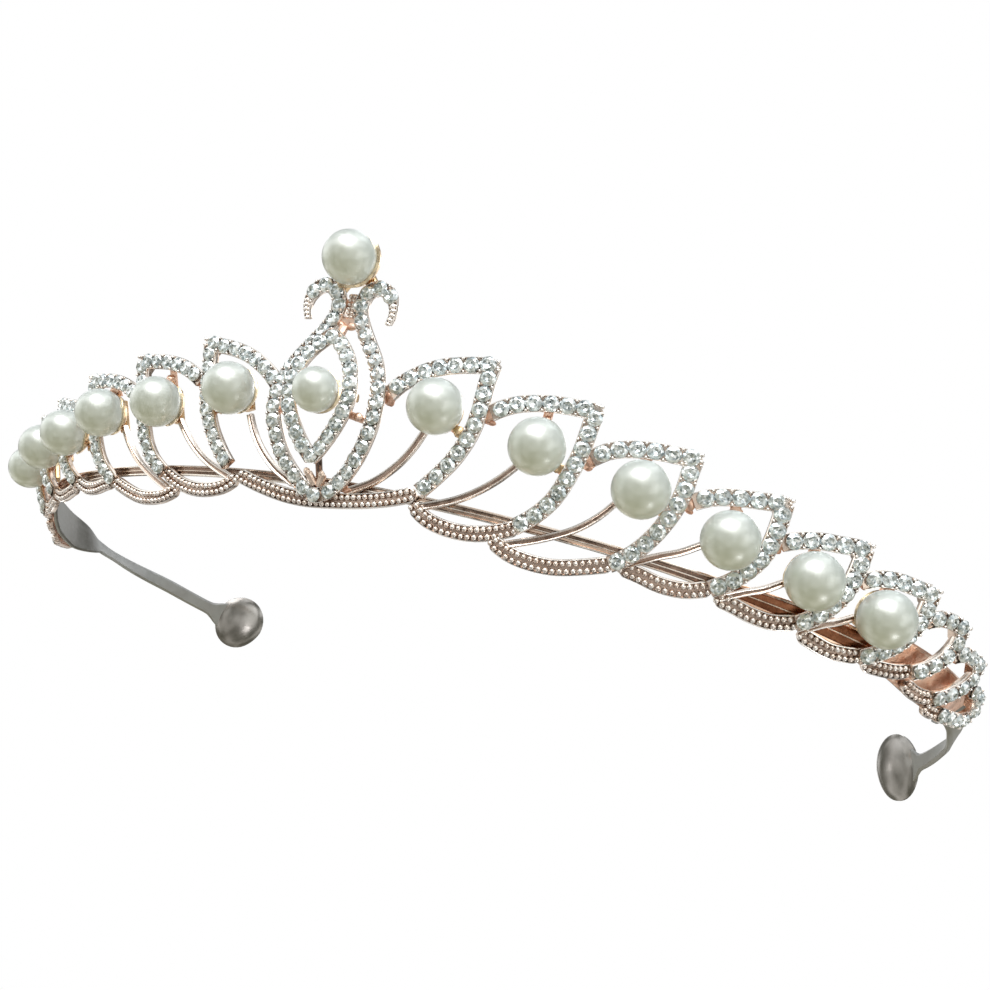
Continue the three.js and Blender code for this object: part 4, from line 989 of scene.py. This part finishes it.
link(nt, far.outputs["Color"], mx.inputs[0])
link(nt, pb.outputs[0], mx.inputs[1])
link(nt, em.outputs[0], mx.inputs[2])
link(nt, mx.outputs[0], nt.nodes["Material Output"].inputs["Surface"])
floor.data.materials.append(mf)
floor.visible_diffuse = floor.visible_glossy = floor.visible_transmission = False

world = bpy.data.worlds.new("studio")
scene.world = world
world.use_nodes = True
nt = world.node_tree
bg = nt.nodes["Background"]
tc = nt.nodes.new("ShaderNodeTexCoord")
sep = nt.nodes.new("ShaderNodeSeparateXYZ")
link(nt, tc.outputs["Generated"], sep.inputs[0])
up = add(nt, "ShaderNodeMapRange")
link(nt, sep.outputs["Z"], up.inputs["Value"])
up.inputs["From Min"].default_value, up.inputs["From Max"].default_value = -1.0, 1.0
sky = ramp(nt, up.outputs["Result"], [(0.0, (0.44, 0.43, 0.27)), (0.36, (0.31, 0.31, 0.20)), (0.50, (0.40, 0.43, 0.37)), (0.66, (0.54, 0.61, 0.62)), (1.0, (0.56, 0.64, 0.66))])
# what polished faces see: a room of light and dark patches, brighter above
patch = add(nt, "ShaderNodeTexNoise", Scale=2.6, Detail=1.5, Roughness=0.6)
link(nt, tc.outputs["Generated"], patch.inputs["Vector"])
room = ramp(nt, patch.outputs["Fac"], [(0.40, (0.10, 0.095, 0.085)), (0.50, (0.55, 0.54, 0.52)), (0.56, (1.35, 1.35, 1.33)), (0.70, (2.3, 2.3, 2.3))])
tall = ramp(nt, up.outputs["Result"], [(0.0, (0.55, 0.54, 0.52)), (0.5, (0.75, 0.75, 0.74)), (0.7, (1.05, 1.07, 1.08)), (1.0, (1.2, 1.22, 1.24))])
seen = add(nt, "ShaderNodeMix", data_type="RGBA", blend_type="MULTIPLY")
seen.inputs[0].default_value = 1.0
link(nt, room.outputs["Color"], seen.inputs[6])
link(nt, tall.outputs["Color"], seen.inputs[7])
lp = nt.nodes.new("ShaderNodeLightPath")
pick = add(nt, "ShaderNodeMix", data_type="RGBA", blend_type="MIX")
link(nt, lp.outputs["Is Glossy Ray"], pick.inputs[0])
link(nt, sky.outputs["Color"], pick.inputs[6])
link(nt, seen.outputs[2], pick.inputs[7])
link(nt, pick.outputs[2], bg.inputs["Color"])
bg.inputs["Strength"].default_value = 1.0
white = add(nt, "ShaderNodeBackground", Color=(1, 1, 1, 1), Strength=1.0)
mx = nt.nodes.new("ShaderNodeMixShader")
link(nt, lp.outputs["Is Camera Ray"], mx.inputs[0])
link(nt, bg.outputs[0], mx.inputs[1])
link(nt, white.outputs[0], mx.inputs[2])
link(nt, mx.outputs[0], nt.nodes["World Output"].inputs["Surface"])


def softbox(name, at, look, size, power, color=(1, 1, 1)):
    l = bpy.data.lights.new(name, "AREA")
    l.shape, l.size, l.size_y, l.energy, l.color = "RECTANGLE", size[0], size[1], power, color
    o = bpy.data.objects.new(name, l)
    scene.collection.objects.link(o)
    o.location = at
    o.rotation_euler = (Vector(look) - Vector(at)).to_track_quat("-Z", "Y").to_euler()
    o.visible_camera = False
    return o


sheen = softbox("sheen", (0.06, -0.82, 0.62), (0, -0.02, 0.01), (1.0, 0.8), 11.0, (1.0, 1.0, 1.0))
sheen.visible_diffuse = False
softbox("key", (-0.25, -0.68, 0.66), (0, -0.02, 0.01), (0.34, 0.26), 0.9, (0.98, 1.0, 1.0))
softbox("overhead", (0.1, -0.05, 0.9), (0, 0, 0.01), (0.7, 0.5), 0.8, (0.94, 0.98, 1.0))
softbox("side_right", (0.95, -0.30, 0.05), (0, -0.02, 0.01), (0.5, 0.7), 1.1, (0.97, 1.0, 0.98))
softbox("side_left", (-0.95, -0.45, 0.10), (0, -0.02, 0.01), (0.5, 0.7), 1.1, (0.97, 1.0, 0.98))
softbox("rim", (0.0, 0.8, 0.5), (0, 0, 0.02), (0.7, 0.3), 0.8)

for name, at, look, size, power in (("glint_right", (-0.7037, 0.2125, -0.0789), (0.0761, 0.0554, 0.0060), 0.07, 0.07), ("glint_left", (0.1354, -0.0123, -0.0850), (-0.0761, 0.0554, 0.0060), 0.03, 0.02)):
    softbox(name, at, look, (size, size), power).visible_diffuse = False
